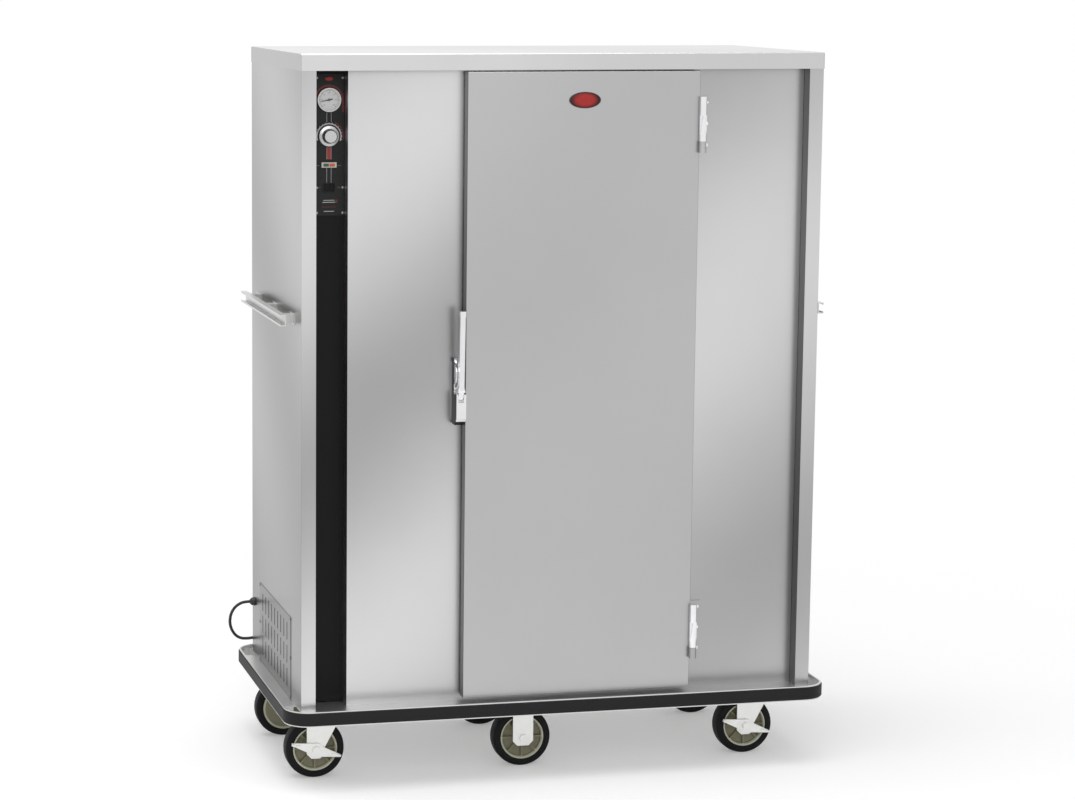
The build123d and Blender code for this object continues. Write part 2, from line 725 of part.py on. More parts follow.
with BuildPart() as thermostat_knob:
    with BuildSketch(Plane(origin=(panel_x, panel_front, knob_z), x_dir=(1, 0, 0), z_dir=(0, 0, 1))):
        with BuildLine():
            Polyline(
                (0, 14), (shaft_radius, 14), (shaft_radius, -knob_gap), (27, -knob_gap), (27, -3), (18, -5.5),
                (0, -5.5), (0, 14),
            )
        make_face()
    revolve(axis=Axis((panel_x, panel_front, knob_z), (0, -1, 0)))
    with BuildSketch(Plane.XZ.offset(-panel_front + 5.5)):
        with Locations((panel_x, knob_z)):
            RegularPolygon(18, knob_flats)
    extrude(amount=18, taper=4)
    chamfer(thermostat_knob.faces().sort_by(Axis.Y)[0].outer_wire().edges(), 1.5)
thermostat_knob.part.label = "thermostat_knob"
export_step(thermostat_knob.part, "parts/thermostat_knob.step")

# Pilot lamps: one bezel with a green and a red lens, and the rocker switch beside its frame.
with BuildPart() as pilot_lights:
    with BuildSketch(Plane.XZ.offset(-panel_front)):
        with Locations((panel_x, pilot_z)):
            Rectangle(37.6, 13)
            with GridLocations(15.2, 0, 2, 1):
                Rectangle(13.4, 7.4, mode=Mode.SUBTRACT)
    extrude(amount=2.5)
    with BuildSketch(Plane.XZ.offset(-panel_front)):
        with Locations((panel_x, pilot_z)):
            with GridLocations(15.2, 0, 2, 1):
                Rectangle(13.2, 7.2)
    extrude(amount=3.6)
pilot_lights.part.label = "pilot_lights"
export_step(pilot_lights.part, "parts/pilot_lights.step")

rocker_tilt = math.radians(7)
rocker_axis = (math.cos(rocker_tilt), -math.sin(rocker_tilt), 0)
rocker_low = rocker_z - rocker_height / 2

with BuildPart() as rocker_switch:
    with BuildSketch(Plane(origin=(panel_x, panel_front + 3, rocker_low), x_dir=rocker_axis, z_dir=(0, 0, 1))):
        with BuildLine():
            Polyline((-12.2, -7), (0, -5.4), (12.2, -7), (11, 3), (-11, 3), (-12.2, -7))
        make_face()
    extrude(amount=rocker_height)
rocker_switch.part.label = "rocker_switch"
export_step(rocker_switch.part, "parts/rocker_switch.step")

# Door: an outer pan, an inner liner with a raised plug, the insulation between them, and a gasket.
door_sheet = 1.2
plug_inset = 13
plug_depth = 12
gasket_width = 12

with BuildPart() as door_skin:
    with BuildSketch(Plane.XZ.offset(-door_front)):
        with Locations((door_centre, door_bottom + door_height / 2)):
            Rectangle(door_width, door_height)
    extrude(amount=-door_depth + 1)
    fillet(door_skin.edges().group_by(Axis.Y)[0], 2.5)
    with BuildSketch(Plane.XZ.offset(-door_front - door_sheet)):
        with Locations((door_centre, door_bottom + door_height / 2)):
            Rectangle(door_width - 2 * door_sheet, door_height - 2 * door_sheet)
    extrude(amount=-door_depth, mode=Mode.SUBTRACT)
door_skin.part.label = "door_skin"
export_step(door_skin.part, "parts/door_skin.step")

with BuildPart() as door_liner:
    with BuildSketch(Plane.XZ.offset(-door_back)):
        with Locations((door_centre, door_bottom + door_height / 2)):
            Rectangle(door_width - 2, door_height - 2)
    extrude(amount=1)
    with BuildSketch(Plane.XZ.offset(-door_back)):
        with Locations((door_centre, opening_middle)):
            Rectangle(opening_width - 2 * plug_inset, opening_height - 2 * plug_inset)
    extrude(amount=-plug_depth, taper=20)
    with BuildSketch(Plane.XZ.offset(-door_back + 1)):
        with Locations((door_centre, opening_middle)):
            Rectangle(opening_width - 2 * plug_inset - 3, opening_height - 2 * plug_inset - 3)
    extrude(amount=-plug_depth, taper=20, mode=Mode.SUBTRACT)
door_liner.part.label = "door_liner"
export_step(door_liner.part, "parts/door_liner.step")

with BuildPart() as door_insulation:
    with Locations((door_centre, (door_front + door_sheet + door_back - 1) / 2, door_bottom + door_height / 2)):
        Box(door_width - 2 * door_sheet, door_back - 1 - door_front - door_sheet, door_height - 2 * door_sheet)
door_insulation.part.label = "door_insulation"
export_step(door_insulation.part, "parts/door_insulation.step")

with BuildPart() as door_gasket:
    with BuildSketch(Plane.XZ.offset(-door_back)):
        with Locations((door_centre, opening_middle)):
            Rectangle(opening_width + 2 * gasket_width, opening_height + 2 * gasket_width)
            Rectangle(opening_width - 4, opening_height - 4, mode=Mode.SUBTRACT)
    extrude(amount=-(frame_y - door_back - 0.5))
    chamfer(door_gasket.faces().sort_by(Axis.Y)[-1].outer_wire().edges(), 3)
door_gasket.part.label = "door_gasket"
export_step(door_gasket.part, "parts/door_gasket.step")

# Hinges: two lift-off pairs on the door's right edge. The frame half carries the pin and the low knuckle.
hinge_height = 140
hinge_bottoms = (294, 1589)
pin_x = door_right + 4.5
pin_y = front_y - 9
barrel_radius = 9.5
knuckle_height = 28
pin_radius = 4
leaf_thickness = 3

with BuildPart() as hinge_frame_leaves:
    for low in hinge_bottoms:
        with BuildSketch(Plane.XY.offset(low)):
            with Locations((pin_x, pin_y)):
                Circle(barrel_radius)
        extrude(amount=knuckle_height)
        with BuildSketch(Plane.XY.offset(low)):
            with Locations((pin_x, pin_y)):
                Circle(pin_radius)
        extrude(amount=hinge_height - 10)
        with BuildSketch(Plane.XY.offset(low)):
            with BuildLine():
                Polyline(
                    (pin_x + 2, pin_y + 5), (pin_x + 5, pin_y + 5), (pin_x + 5, frame_y - leaf_thickness),
                    (pin_x + 34, frame_y - leaf_thickness), (pin_x + 34, frame_y), (pin_x + 2, frame_y),
                    (pin_x + 2, pin_y + 5),
                )
            make_face()
        extrude(amount=knuckle_height)
        with BuildSketch(Plane.XY.offset(low)):
            with Locations((pin_x + 19, frame_y - leaf_thickness / 2)):
                Rectangle(30, leaf_thickness)
        extrude(amount=hinge_height)
hinge_frame_leaves.part.label = "hinge_frame_leaves"
export_step(hinge_frame_leaves.part, "parts/hinge_frame_leaves.step")

with BuildPart() as hinge_door_leaves:
    for low in hinge_bottoms:
        with BuildSketch(Plane.XY.offset(low + knuckle_height + 0.4)):
            with Locations((pin_x, pin_y)):
                Circle(barrel_radius)
            with Locations(((door_right + pin_x - 1.5) / 2, (pin_y + 4 + door_back - 2) / 2)):
                Rectangle(pin_x - 1.5 - door_right, door_back - 2 - pin_y - 4)
        extrude(amount=hinge_height - knuckle_height - 0.4)
        with BuildSketch(Plane.XY.offset(low)):
            with Locations((pin_x, pin_y)):
                Circle(pin_radius + running_gap)
        extrude(amount=hinge_height - 8, mode=Mode.SUBTRACT)
        for side in (-1, 1):
            with BuildSketch(Plane.XZ.offset(-pin_y + barrel_radius + 1)):
                with BuildLine():
                    Polyline(
                        (pin_x + side * 2, low + 92), (pin_x + side * 12, low + 96), (pin_x + side * 12, low + 44),
                        (pin_x + side * 7.5, low + 48), (pin_x + side * 2, low + 92),
                    )
                make_face()
            extrude(amount=-7, mode=Mode.SUBTRACT)
hinge_door_leaves.part.label = "hinge_door_leaves"
export_step(hinge_door_leaves.part, "parts/hinge_door_leaves.step")

# Latch: a cast body on the door's left edge holds the magnet, and a long pull lever pivots in its top.
latch_width = 26
latch_x = door_left - latch_width / 2
latch_back = frame_y - 2.5
latch_front = front_y - 7
pull_pivot_y = front_y + 3.5
pull_pivot_z = 986
pull_width = 13
housing_top = 994
housing_bottom = 916
latch_top = 1082

with BuildPart() as latch_body:
    with BuildSketch(Plane.YZ.offset(latch_x - latch_width / 2)):
        with BuildLine():
            Polyline(
                (latch_back, housing_bottom + 8), (latch_back, latch_top), (front_y + 20, latch_top),
                (front_y + 20, housing_top), (latch_front, housing_top), (latch_front, housing_bottom + 18),
                (latch_front + 14, housing_bottom), (latch_back - 6, housing_bottom),
                (latch_back, housing_bottom + 8),
            )
        make_face()
    extrude(amount=latch_width)
    with BuildSketch(Plane.YZ.offset(latch_x - pull_width / 2 - 0.7)):
        with Locations((latch_front + 11, housing_top - 9)):
            Rectangle(24, 22)
    extrude(amount=pull_width + 1.4, mode=Mode.SUBTRACT)
    with BuildSketch(Plane.YZ.offset(latch_x - latch_width / 2)):
        with Locations((pull_pivot_y, pull_pivot_z)):
            Circle(3)
    extrude(amount=latch_width)
    with BuildSketch(Plane.YZ.offset(latch_x - latch_width / 2 + 2)):
        with BuildLine():
            arch = ThreePointArc((front_y + 22, latch_top - 6), (front_y + 6, latch_top - 40), (front_y + 22, latch_top - 74))
            offset(arch, amount=4, side=Side.RIGHT)
        make_face()
    extrude(amount=4)
latch_body.part.label = "latch_body"
export_step(latch_body.part, "parts/latch_body.step")

with BuildPart() as latch_strike:
    with BuildSketch(Plane.XZ.offset(-frame_y)):
        with Locations((latch_x, (housing_bottom + latch_top) / 2)):
            RectangleRounded(latch_width + 6, latch_top - housing_bottom - 20, 4)
    extrude(amount=2)
latch_strike.part.label = "latch_strike"
export_step(latch_strike.part, "parts/latch_strike.step")

pull_top = 1203
with BuildPart() as latch_pull:
    with BuildSketch(Plane.YZ.offset(latch_x - pull_width / 2)):
        with Locations((pull_pivot_y, pull_pivot_z)):
            Circle(7.5)
        with BuildLine():
            Polyline(
                (pull_pivot_y - 7.5, pull_pivot_z), (pull_pivot_y - 16, pull_pivot_z + 18),
                (pull_pivot_y - 25, pull_top), (pull_pivot_y - 15, pull_top), (pull_pivot_y - 5, pull_pivot_z + 24),
                (pull_pivot_y + 7.5, pull_pivot_z), (pull_pivot_y - 7.5, pull_pivot_z),
            )
        make_face()
        with Locations((pull_pivot_y, pull_pivot_z)):
            Circle(3 + running_gap, mode=Mode.SUBTRACT)
    extrude(amount=pull_width)
    with BuildSketch(Plane.XY.offset(pull_pivot_z + 14)):
        with Locations((latch_x, pull_pivot_y - 9)):
            Rectangle(19, 16)
    extrude(amount=11, taper=12)
    with BuildSketch(Plane.XY.offset(pull_top - 13)):
        with Locations((latch_x, pull_pivot_y - 20)):
            RectangleRounded(16, 14, 3)
    extrude(amount=14)
latch_pull.part.label = "latch_pull"
export_step(latch_pull.part, "parts/latch_pull.step")

# Push handles: on each side an extruded rail, open outwards, stands on three bent brackets.
rail_length = 546
rail_z = 1181
rail_height = 28
rail_depth = 15
rail_wall = 2.4
rail_outer = side_x + 40
bracket_spacing = 225

with BuildPart() as push_rails:
    for side in (-1, 1):
        with BuildSketch(Plane.XZ.offset(rail_length / 2)):
            with Locations((side * (rail_outer - rail_depth / 2), rail_z)):
                Rectangle(rail_depth, rail_height)
            with Locations((side * (rail_outer - (rail_depth - rail_wall) / 2), rail_z)):
                Rectangle(rail_depth - rail_wall, rail_height - 2 * rail_wall, mode=Mode.SUBTRACT)
            with Locations((side * (rail_outer - 1), rail_z)):
                with GridLocations(0, rail_height - 5, 1, 2):
                    Rectangle(2, 5)
        extrude(amount=-rail_length)
push_rails.part.label = "push_rails"
export_step(push_rails.part, "parts/push_rails.step")

bracket_length = rail_outer - rail_depth - skin_x
with BuildPart() as push_brackets:
    for side in (-1, 1):
        bracket_plane = Plane(origin=(side * skin_x, 0, rail_z), x_dir=(0, 1, 0), z_dir=(side, 0, 0))
        with BuildSketch(bracket_plane):
            with GridLocations(bracket_spacing, 0, 3, 1):
                Rectangle(62, 26)
        extrude(amount=2.5)
        with BuildSketch(bracket_plane):
            with GridLocations(bracket_spacing, 0, 3, 1):
                Rectangle(34, 22)
                Rectangle(29, 17, mode=Mode.SUBTRACT)
        extrude(amount=bracket_length)
push_brackets.part.label = "push_brackets"
export_step(push_brackets.part, "parts/push_brackets.step")

# Power cord: leaves a gland low on the left side, loops out and down behind the bumper to the floor,
# and ends in a coil of the spare length with its plug beside it.
cord_radius = cord_diameter / 2
cord_sides = 6
gland_length = 13.6
cord_start = -skin_x - gland_length
floor_z = 5.2
layer_step = 8.6
coil_x = -380
coil_y = 362
coil_outer = 58
coil_pitch = 8.6
coil_turns = 3
plug_gap = 44

with BuildPart() as cord_gland:
    with BuildSketch(Plane(origin=(-skin_x, gland_y, gland_z), x_dir=(-1, 0, 0), z_dir=(0, 1, 0))):
        with BuildLine():
            Polyline(
                (-9, 0), (-9, 8), (0, 8), (0, 11.5), (3, 11.5), (9, 10), (gland_length, cord_radius + 1.5),
                (gland_length, 0), (-9, 0),
            )
        make_face()
    revolve(axis=Axis((-skin_x, gland_y, gland_z), (-1, 0, 0)))
    with BuildSketch(Plane.YZ.offset(-skin_x + sheet)):
        with Locations((gland_y, gland_z)):
            RegularPolygon(12, 6)
    extrude(amount=4)
cord_gland.part.label = "cord_gland"
export_step(cord_gland.part, "parts/cord_gland.step")

cord_points = [
    (cord_start, gland_y, gland_z),
    (-699.6, gland_y, gland_z),
    (-713.6, 304, 340.4),
    (-725.3, 304.3, 331.7),
    (-733.7, 305.2, 319.7),
    (-738.3, 307.2, 304.9),
    (-738.9, 311, 286.9),
    (-733.5, 317.5, 267),
    (-721, 328, 248),
    (-703, 342, 235),
    (-680, 359, 230),
    (-653, 378, 228),
    (-630, 393, 214),
    (-615, 400, 188),
    (-605, 403, 155),
    (-598, 404, 116),
    (-589, 407, 77),
    (-571, 409, 41),
    (-543, 412, 14),
    (-505, 415, floor_z),
    (-465, 418, floor_z),
    (-422, coil_y + coil_outer, floor_z),
    (coil_x, coil_y + coil_outer, floor_z),
]


def corner_radius(before, corner, after):
    """Largest easy arc at a corner of the cord's route."""
    into = Vector(*corner) - Vector(*before)
    out = Vector(*after) - Vector(*corner)
    half_turn = math.radians(into.get_angle(out)) / 2
    return 0.45 * min(into.length, out.length) / math.tan(half_turn)


cord_radii = [corner_radius(*cord_points[i - 1 : i + 2]) for i in range(1, len(cord_points) - 1)]
print("cord radii", [round(r) for r in cord_radii])

with BuildPart() as power_cord:
    with BuildLine() as cord_line:
        FilletPolyline(*cord_points, radius=cord_radii)
    with BuildSketch(Plane(origin=cord_line.line @ 0, x_dir=(0, 1, 0), z_dir=cord_line.line % 0)) as cord_face:
        RegularPolygon(cord_radius, cord_sides)
    sweep(path=cord_line.line)
cord_length = cord_line.wire().length
cord_section = cord_face.sketch.area
print("cord volume / section x length", power_cord.part.volume / cord_section / cord_length)
power_cord.part.label = "power_cord"
export_step(power_cord.part, "parts/power_cord.step")

# The spare cord winds in for three turns on the floor, climbs half a turn and winds out on top.
with BuildPart() as cord_coil:
    with BuildLine() as coil_line:
        here = Vector(coil_x, coil_y + coil_outer, floor_z)
        radii = [coil_outer - k * coil_pitch / 2 for k in range(2 * coil_turns)]
        heading = 1
        for radius in radii:
            there = here - Vector(0, 2 * radius * heading, 0)
            middle = (here + there) * 0.5 + Vector(radius * heading, 0, 0)
            ThreePointArc(here, middle, there)
            here = there
            heading = -heading
        climb = radii[-1] - coil_pitch / 2
        there = here + Vector(0, -2 * climb * heading, layer_step)
        rise = there - here
        joint = (here + there) * 0.5 + Vector(rise.length / 2 * heading, 0, 0)
        TangentArc(here, joint, tangent=(heading, 0, 0))
        TangentArc(joint, there, tangent=rise)
        here = there
        heading = -heading
        for radius in reversed(radii):
            there = here - Vector(0, 2 * radius * heading, 0)
            middle = (here + there) * 0.5 + Vector(radius * heading, 0, 0)
            ThreePointArc(here, middle, there)
            here = there
            heading = -heading
        coil_end = here + Vector(plug_gap * heading, 0, 0)
        Line(here, coil_end)
    with BuildSketch(Plane(origin=coil_line.line @ 0, x_dir=(0, 1, 0), z_dir=coil_line.line % 0)):
        RegularPolygon(cord_radius, cord_sides)
    sweep(path=coil_line.line)
coil_path = coil_line.wire()
coil_length = coil_path.length
print("coil volume / section x length", cord_coil.part.volume / cord_section / coil_length)
steps = 900
coil_points = [coil_path @ (i / steps) for i in range(steps + 1)]
apart = int(steps * 0.5 * math.pi * coil_outer / coil_length)
gap = min(
    (coil_points[i] - coil_points[j]).length
    for i in range(steps + 1)
    for j in range(i + apart, steps + 1)
)
print("coil least gap", round(gap - cord_diameter, 2), "cord length", round(cord_length + coil_length))
cord_coil.part.label = "cord_coil"
export_step(cord_coil.part, "parts/cord_coil.step")

# Plug and tie: a straight moulded plug with three pins beside the coil, and a strap round the turns.
plug_length = 44
plug_facing = Plane(origin=coil_end, x_dir=(0, 1, 0), z_dir=(heading, 0, 0))

with BuildPart() as plug:
    for reach, width, height, corner in ((0, 20, 16, 4), (16, 34, 25, 6), (plug_length, 36, 26, 6)):
        with BuildSketch(plug_facing.offset(reach)):
            plug_outline = Rectangle(width, height)
            chamfer(plug_outline.vertices(), corner)
    loft(ruled=True)
    with BuildSketch(plug_facing.offset(plug_length)):
        with Locations((-6.3, 3), (6.3, 3)):
            Rectangle(1.6, 6.4)
        with Locations((0, -7)):
            Circle(2.4)
    extrude(amount=18)
plug.part.label = "plug"
export_step(plug.part, "parts/plug.step")

tie_low = 0.1
tie_height = floor_z + layer_step + cord_radius - tie_low + 1.1
with BuildPart() as cord_tie:
    with BuildSketch(Plane.XZ.offset(-coil_y + 7)):
        with Locations((coil_x + (coil_outer + climb) / 2, tie_low + tie_height / 2)):
            Rectangle(coil_outer - climb + cord_diameter + 5, tie_height)
            Rectangle(coil_outer - climb + cord_diameter + 3, tie_height - 2, mode=Mode.SUBTRACT)
    extrude(amount=-14)
cord_tie.part.label = "cord_tie"
export_step(cord_tie.part, "parts/cord_tie.step")
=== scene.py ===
import math
import bmesh
import bpy
from mathutils import Matrix, Vector


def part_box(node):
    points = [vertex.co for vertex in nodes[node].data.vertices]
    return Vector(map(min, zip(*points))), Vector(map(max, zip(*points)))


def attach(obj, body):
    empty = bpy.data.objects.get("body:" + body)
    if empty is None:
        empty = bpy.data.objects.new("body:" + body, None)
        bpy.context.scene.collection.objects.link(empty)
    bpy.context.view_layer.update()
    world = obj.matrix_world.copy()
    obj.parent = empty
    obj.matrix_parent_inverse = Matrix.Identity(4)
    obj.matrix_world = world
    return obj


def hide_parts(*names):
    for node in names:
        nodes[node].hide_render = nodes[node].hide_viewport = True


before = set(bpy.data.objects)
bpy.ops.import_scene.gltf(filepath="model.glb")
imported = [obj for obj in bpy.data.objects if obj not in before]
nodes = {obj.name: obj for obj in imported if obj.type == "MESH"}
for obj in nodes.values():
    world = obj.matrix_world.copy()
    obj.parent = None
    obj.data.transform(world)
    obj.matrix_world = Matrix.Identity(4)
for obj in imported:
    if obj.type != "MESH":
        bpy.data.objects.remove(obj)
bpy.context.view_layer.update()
scene = bpy.context.scene

# Camera at the photograph's angle: to the cabinet's left, a little above its top, looking slightly down.
# The photograph was cropped off its lens axis, which the small shift follows.
photo_width = 1075
focal_pixels = 2847.2
crop_right = 180
crop_down = 35
camera_place = (-2.0283, -7.1257, 2.0439)
yaw, pitch, roll = 0.2172, 0.1385, 0.0034
forward = Vector((math.sin(yaw) * math.cos(pitch), math.cos(yaw) * math.cos(pitch), -math.sin(pitch)))
level = Vector((math.cos(yaw), -math.sin(yaw), 0))
upright = level.cross(forward)
camera_right = math.cos(roll) * level + math.sin(roll) * upright
camera_up = math.cos(roll) * upright - math.sin(roll) * level
camera_turn = Matrix((camera_right, camera_up, -forward)).transposed().to_4x4()
camera = bpy.data.objects.new("camera", bpy.data.cameras.new("camera"))
camera.matrix_world = Matrix.Translation(camera_place) @ camera_turn
camera.data.lens = focal_pixels / photo_width * camera.data.sensor_width
camera.data.shift_x = crop_right / photo_width
camera.data.shift_y = -crop_down / photo_width
camera.data.clip_end = 60
scene.collection.objects.link(camera)
scene.camera = camera


# Power cord: a black jacketed lead that leaves its gland, loops out, drops behind the bumper and ends in a
# coil of its spare length. The coil's turns and the plug's lead are points of the same line. The points have
# the cord's radius, because Blender counts that radius in the curve's box.
cord_radius = 0.004
cord_route = [
    (-684.9, 304, 345), (-699.6, 304, 345), (-713.6, 304, 340.4), (-725.3, 304.3, 331.7),
    (-733.7, 305.2, 319.7), (-738.3, 307.2, 304.9), (-738.9, 311, 286.9), (-733.5, 317.5, 267),
    (-721, 328, 248), (-703, 342, 235), (-680, 359, 230), (-653, 378, 228), (-630, 393, 214),
    (-615, 400, 188), (-605, 403, 155), (-598, 404, 116), (-589, 407, 77), (-571, 409, 41),
    (-543, 412, 14), (-505, 415, 5.2), (-465, 418, 5.2), (-422, 420, 5.2),
]
coil_x, coil_y = -380, 362
coil_outer = 58
coil_pitch = 8.6
coil_turns = 3
coil_low, coil_high = 5.2, 13.8
points_per_half_turn = 12


def half_turns(start, radii, side, low, high):
    """Points along half circles, clockwise from above, that follow on from one another in the coil."""
    line = [(coil_x, coil_y + start, low)]
    for radius in radii:
        for k in range(1, points_per_half_turn + 1):
            turn = math.pi * k / points_per_half_turn
            across = side * radius * math.sin(turn)
            along = side * radius * (1 - math.cos(turn))
            rise = (high - low) * k / points_per_half_turn
            line.append((coil_x + across, coil_y + start - along, low + rise))
        start -= 2 * side * radius
        side = -side
    return line


radii_in = [coil_outer - k * coil_pitch / 2 for k in range(2 * coil_turns)]
inner_radius = coil_outer - coil_turns * coil_pitch
winding_in = half_turns(coil_outer, radii_in, 1, coil_low, coil_low)
climbing = half_turns(inner_radius, [inner_radius], 1, coil_low, coil_high)
winding_out = half_turns(-inner_radius, radii_in[::-1], -1, coil_high, coil_high)
lead_to_plug = [(coil_x - reach, coil_y - coil_outer, coil_high) for reach in (15, 30, 44)]
cord_line = cord_route + winding_in + climbing[1:] + winding_out[1:] + lead_to_plug

cord_curve = bpy.data.curves.new("power_lead", "CURVE")
cord_curve.dimensions = "3D"
cord_curve.bevel_depth = 1.0
cord_curve.bevel_resolution = 4
cord_curve.use_fill_caps = True
cord_spline = cord_curve.splines.new("NURBS")
cord_spline.points.add(len(cord_line) - 1)
for point, place in zip(cord_spline.points, cord_line):
    point.co = (*(millimetres / 1000 for millimetres in place), 1)
    point.radius = cord_radius
cord_spline.order_u = 3
cord_spline.use_endpoint_u = True
cord_spline.resolution_u = 4
power_lead = bpy.data.objects.new("power_lead", cord_curve)
scene.collection.objects.link(power_lead)
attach(power_lead, "cabinet")
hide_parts("power_cord", "cord_coil")


# Cord jacket: matt black rubber with a faint moulded mottle. The plug and the gland are harder mouldings,
# the plug's pins are plated brass, and a pale ribbed strap of plastic holds the coil.
class Wire:
    """A socket of a finish's node tree. Arithmetic on it adds Math nodes."""

    def __init__(self, surface, socket):
        self.surface = surface
        self.socket = socket

    def math(self, operation, first, second=0.5):
        return self.surface.node("Math", {"operation": operation}, {0: first, 1: second})

    def __add__(self, other):
        return self.math("ADD", self, other)

    __radd__ = __add__

    def __sub__(self, other):
        return self.math("SUBTRACT", self, other)

    def __rsub__(self, other):
        return self.math("SUBTRACT", other, self)

    def __mul__(self, other):
        return self.math("MULTIPLY", self, other)

    __rmul__ = __mul__

    def __truediv__(self, other):
        return self.math("DIVIDE", self, other)

    def __pow__(self, other):
        return self.math("POWER", self, other)

    def __gt__(self, other):
        return self.math("GREATER_THAN", self, other)

    def __lt__(self, other):
        return self.math("LESS_THAN", self, other)

    def __abs__(self):
        return self.math("ABSOLUTE", self)

    def cosine(self):
        return self.math("COSINE", self)

    def or_more(self, other):
        return self.math("MAXIMUM", self, other)


class Surface:
    """A finish being made: node() adds a node, and shader() sets the main shader's sockets."""

    def __init__(self, name):
        self.material = bpy.data.materials.new(name)
        self.material.use_nodes = True
        self.tree = self.material.node_tree

    def node(self, kind, settings=None, sockets=None, out=0):
        added = self.tree.nodes.new("ShaderNode" + kind)
        for name, value in (settings or {}).items():
            setattr(added, name, value)
        self.fill(added, sockets or {})
        return Wire(self, added.outputs[out])

    def fill(self, target, sockets):
        for name, value in sockets.items():
            if isinstance(value, Wire):
                self.tree.links.new(value.socket, target.inputs[name])
            elif isinstance(value, tuple) and len(value) == 3 and target.inputs[name].type == "RGBA":
                target.inputs[name].default_value = (*value, 1)
            else:
                target.inputs[name].default_value = value

    def shader(self, **sockets):
        main = self.tree.nodes["Principled BSDF"]
        self.fill(main, {name.replace("_", " "): value for name, value in sockets.items()})
        return self.material

    def place(self):
        return self.node("TexCoord", out="Object")

    def axes(self):
        """The place on the object as its three coordinates."""
        first = self.node("SeparateXYZ", {}, {0: self.place()})
        return [Wire(self, socket) for socket in first.socket.node.outputs]

    def noise(self, scale, stretch=(1, 1, 1), detail=3.0):
        stretched = self.node("Mapping", {}, {"Vector": self.place(), "Scale": stretch})
        return self.node("TexNoise", {}, {"Vector": stretched, "Scale": scale, "Detail": detail})

    def blend(self, factor, first, second):
        """A colour between two. A Mix node has its two colours in sockets 6 and 7, and the result in 2."""
        return self.node("Mix", {"data_type": "RGBA"}, {0: factor, 6: first, 7: second}, out=2)

    def bump(self, height, strength, distance, over=None):
        sockets = {"Height": height, "Strength": strength, "Distance": distance}
        if over:
            sockets["Normal"] = over
        return self.node("Bump", {}, sockets)

    def change(self, value, start, end, at_start, at_end, kind="SMOOTHSTEP"):
        """A number that goes from at_start to at_end while the value goes from start to end."""
        return self.node("MapRange", {"interpolation_type": kind},
                         {0: value, 1: start, 2: end, 3: at_start, 4: at_end})


def mottled(name, scale, dark, light, rough, rougher=0.0, relief=None, **sockets):
    """A finish that a fine mottle takes from a dark tone to a light one, with its roughness and relief."""
    surface = Surface(name)
    mottle = surface.noise(scale)
    roughness = rough + rougher * mottle if rougher else rough
    if relief:
        strength, distance = relief
        sockets["Normal"] = surface.bump(mottle, strength, distance)
    return surface.shader(Base_Color=surface.blend(mottle, dark, light), Roughness=roughness, **sockets)


def dress(material, *names):
    """Gives the material to carried-over solids."""
    for name in names:
        mesh = nodes[name].data
        mesh.materials.clear()
        mesh.materials.append(material)


cord_jacket = mottled("cord_jacket", 180, dark=(0.012, 0.012, 0.012), light=(0.024, 0.024, 0.024),
                      rough=0.42, rougher=0.15, relief=(0.2, 0.0004))
cord_curve.materials.append(cord_jacket)

moulding = Surface("plug_moulding")
moulding_x, _, moulding_z = moulding.axes()
plug_low, plug_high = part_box("plug")
pin_length = 0.0178
on_pins = (moulding_x < plug_low.x + pin_length) * (moulding_z < plug_high.z)
moulding_grain = moulding.noise(700)
moulding_tone = moulding.blend(moulding_grain, (0.014, 0.014, 0.014), (0.022, 0.022, 0.022))
pin_brass = (0.62, 0.58, 0.46)
plug_moulding = moulding.shader(Base_Color=moulding.blend(on_pins, moulding_tone, pin_brass),
                                Metallic=on_pins, Roughness=0.38 + 0.1 * moulding_grain - 0.1 * on_pins,
                                Normal=moulding.bump(moulding_grain, 0.3, 0.0002))
dress(plug_moulding, "plug", "cord_gland")

strap = Surface("tie_strap")
strap_ribs = strap.node("TexWave", {"bands_direction": "X"}, {"Vector": strap.place(), "Scale": 300.0})
tie_strap = strap.shader(Base_Color=(0.62, 0.62, 0.58), Roughness=0.45,
                         Normal=strap.bump(strap_ribs, 0.3, 0.0003))
dress(tie_strap, "cord_tie")


# Body sheet: folded stainless steel with an upright polishing grain, faint waves, smears and broad lighter
# bands of painted sheen. Each panel's tones are set to how bright it looks, so they hold painted light and
# shade. The side panels darken towards the floor as painted shade, and folded edges get painted shade.
side_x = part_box("right_side_panel")[1].x
# Tone of the painted shade on the side panels near the floor.
side_shade_tone = (0.16, 0.16, 0.16)
post_inside = side_x - 0.037
# These values place and darken the painted shade on folded edges inside the recesses.
fold_reach = 0.0006
fold_front = -0.2400
fold_top = 1.83
fold_shade_tone = (0.04, 0.04, 0.04)
fold_shade_share = 0.85
# These values lay a painted sheen of reflected light on the sheet as broad, lighter diagonal bands.
sheen_climb = 0.68
sheen_drift = 0.9
sheen_height = 1.18
sheen_spacing = 1.6


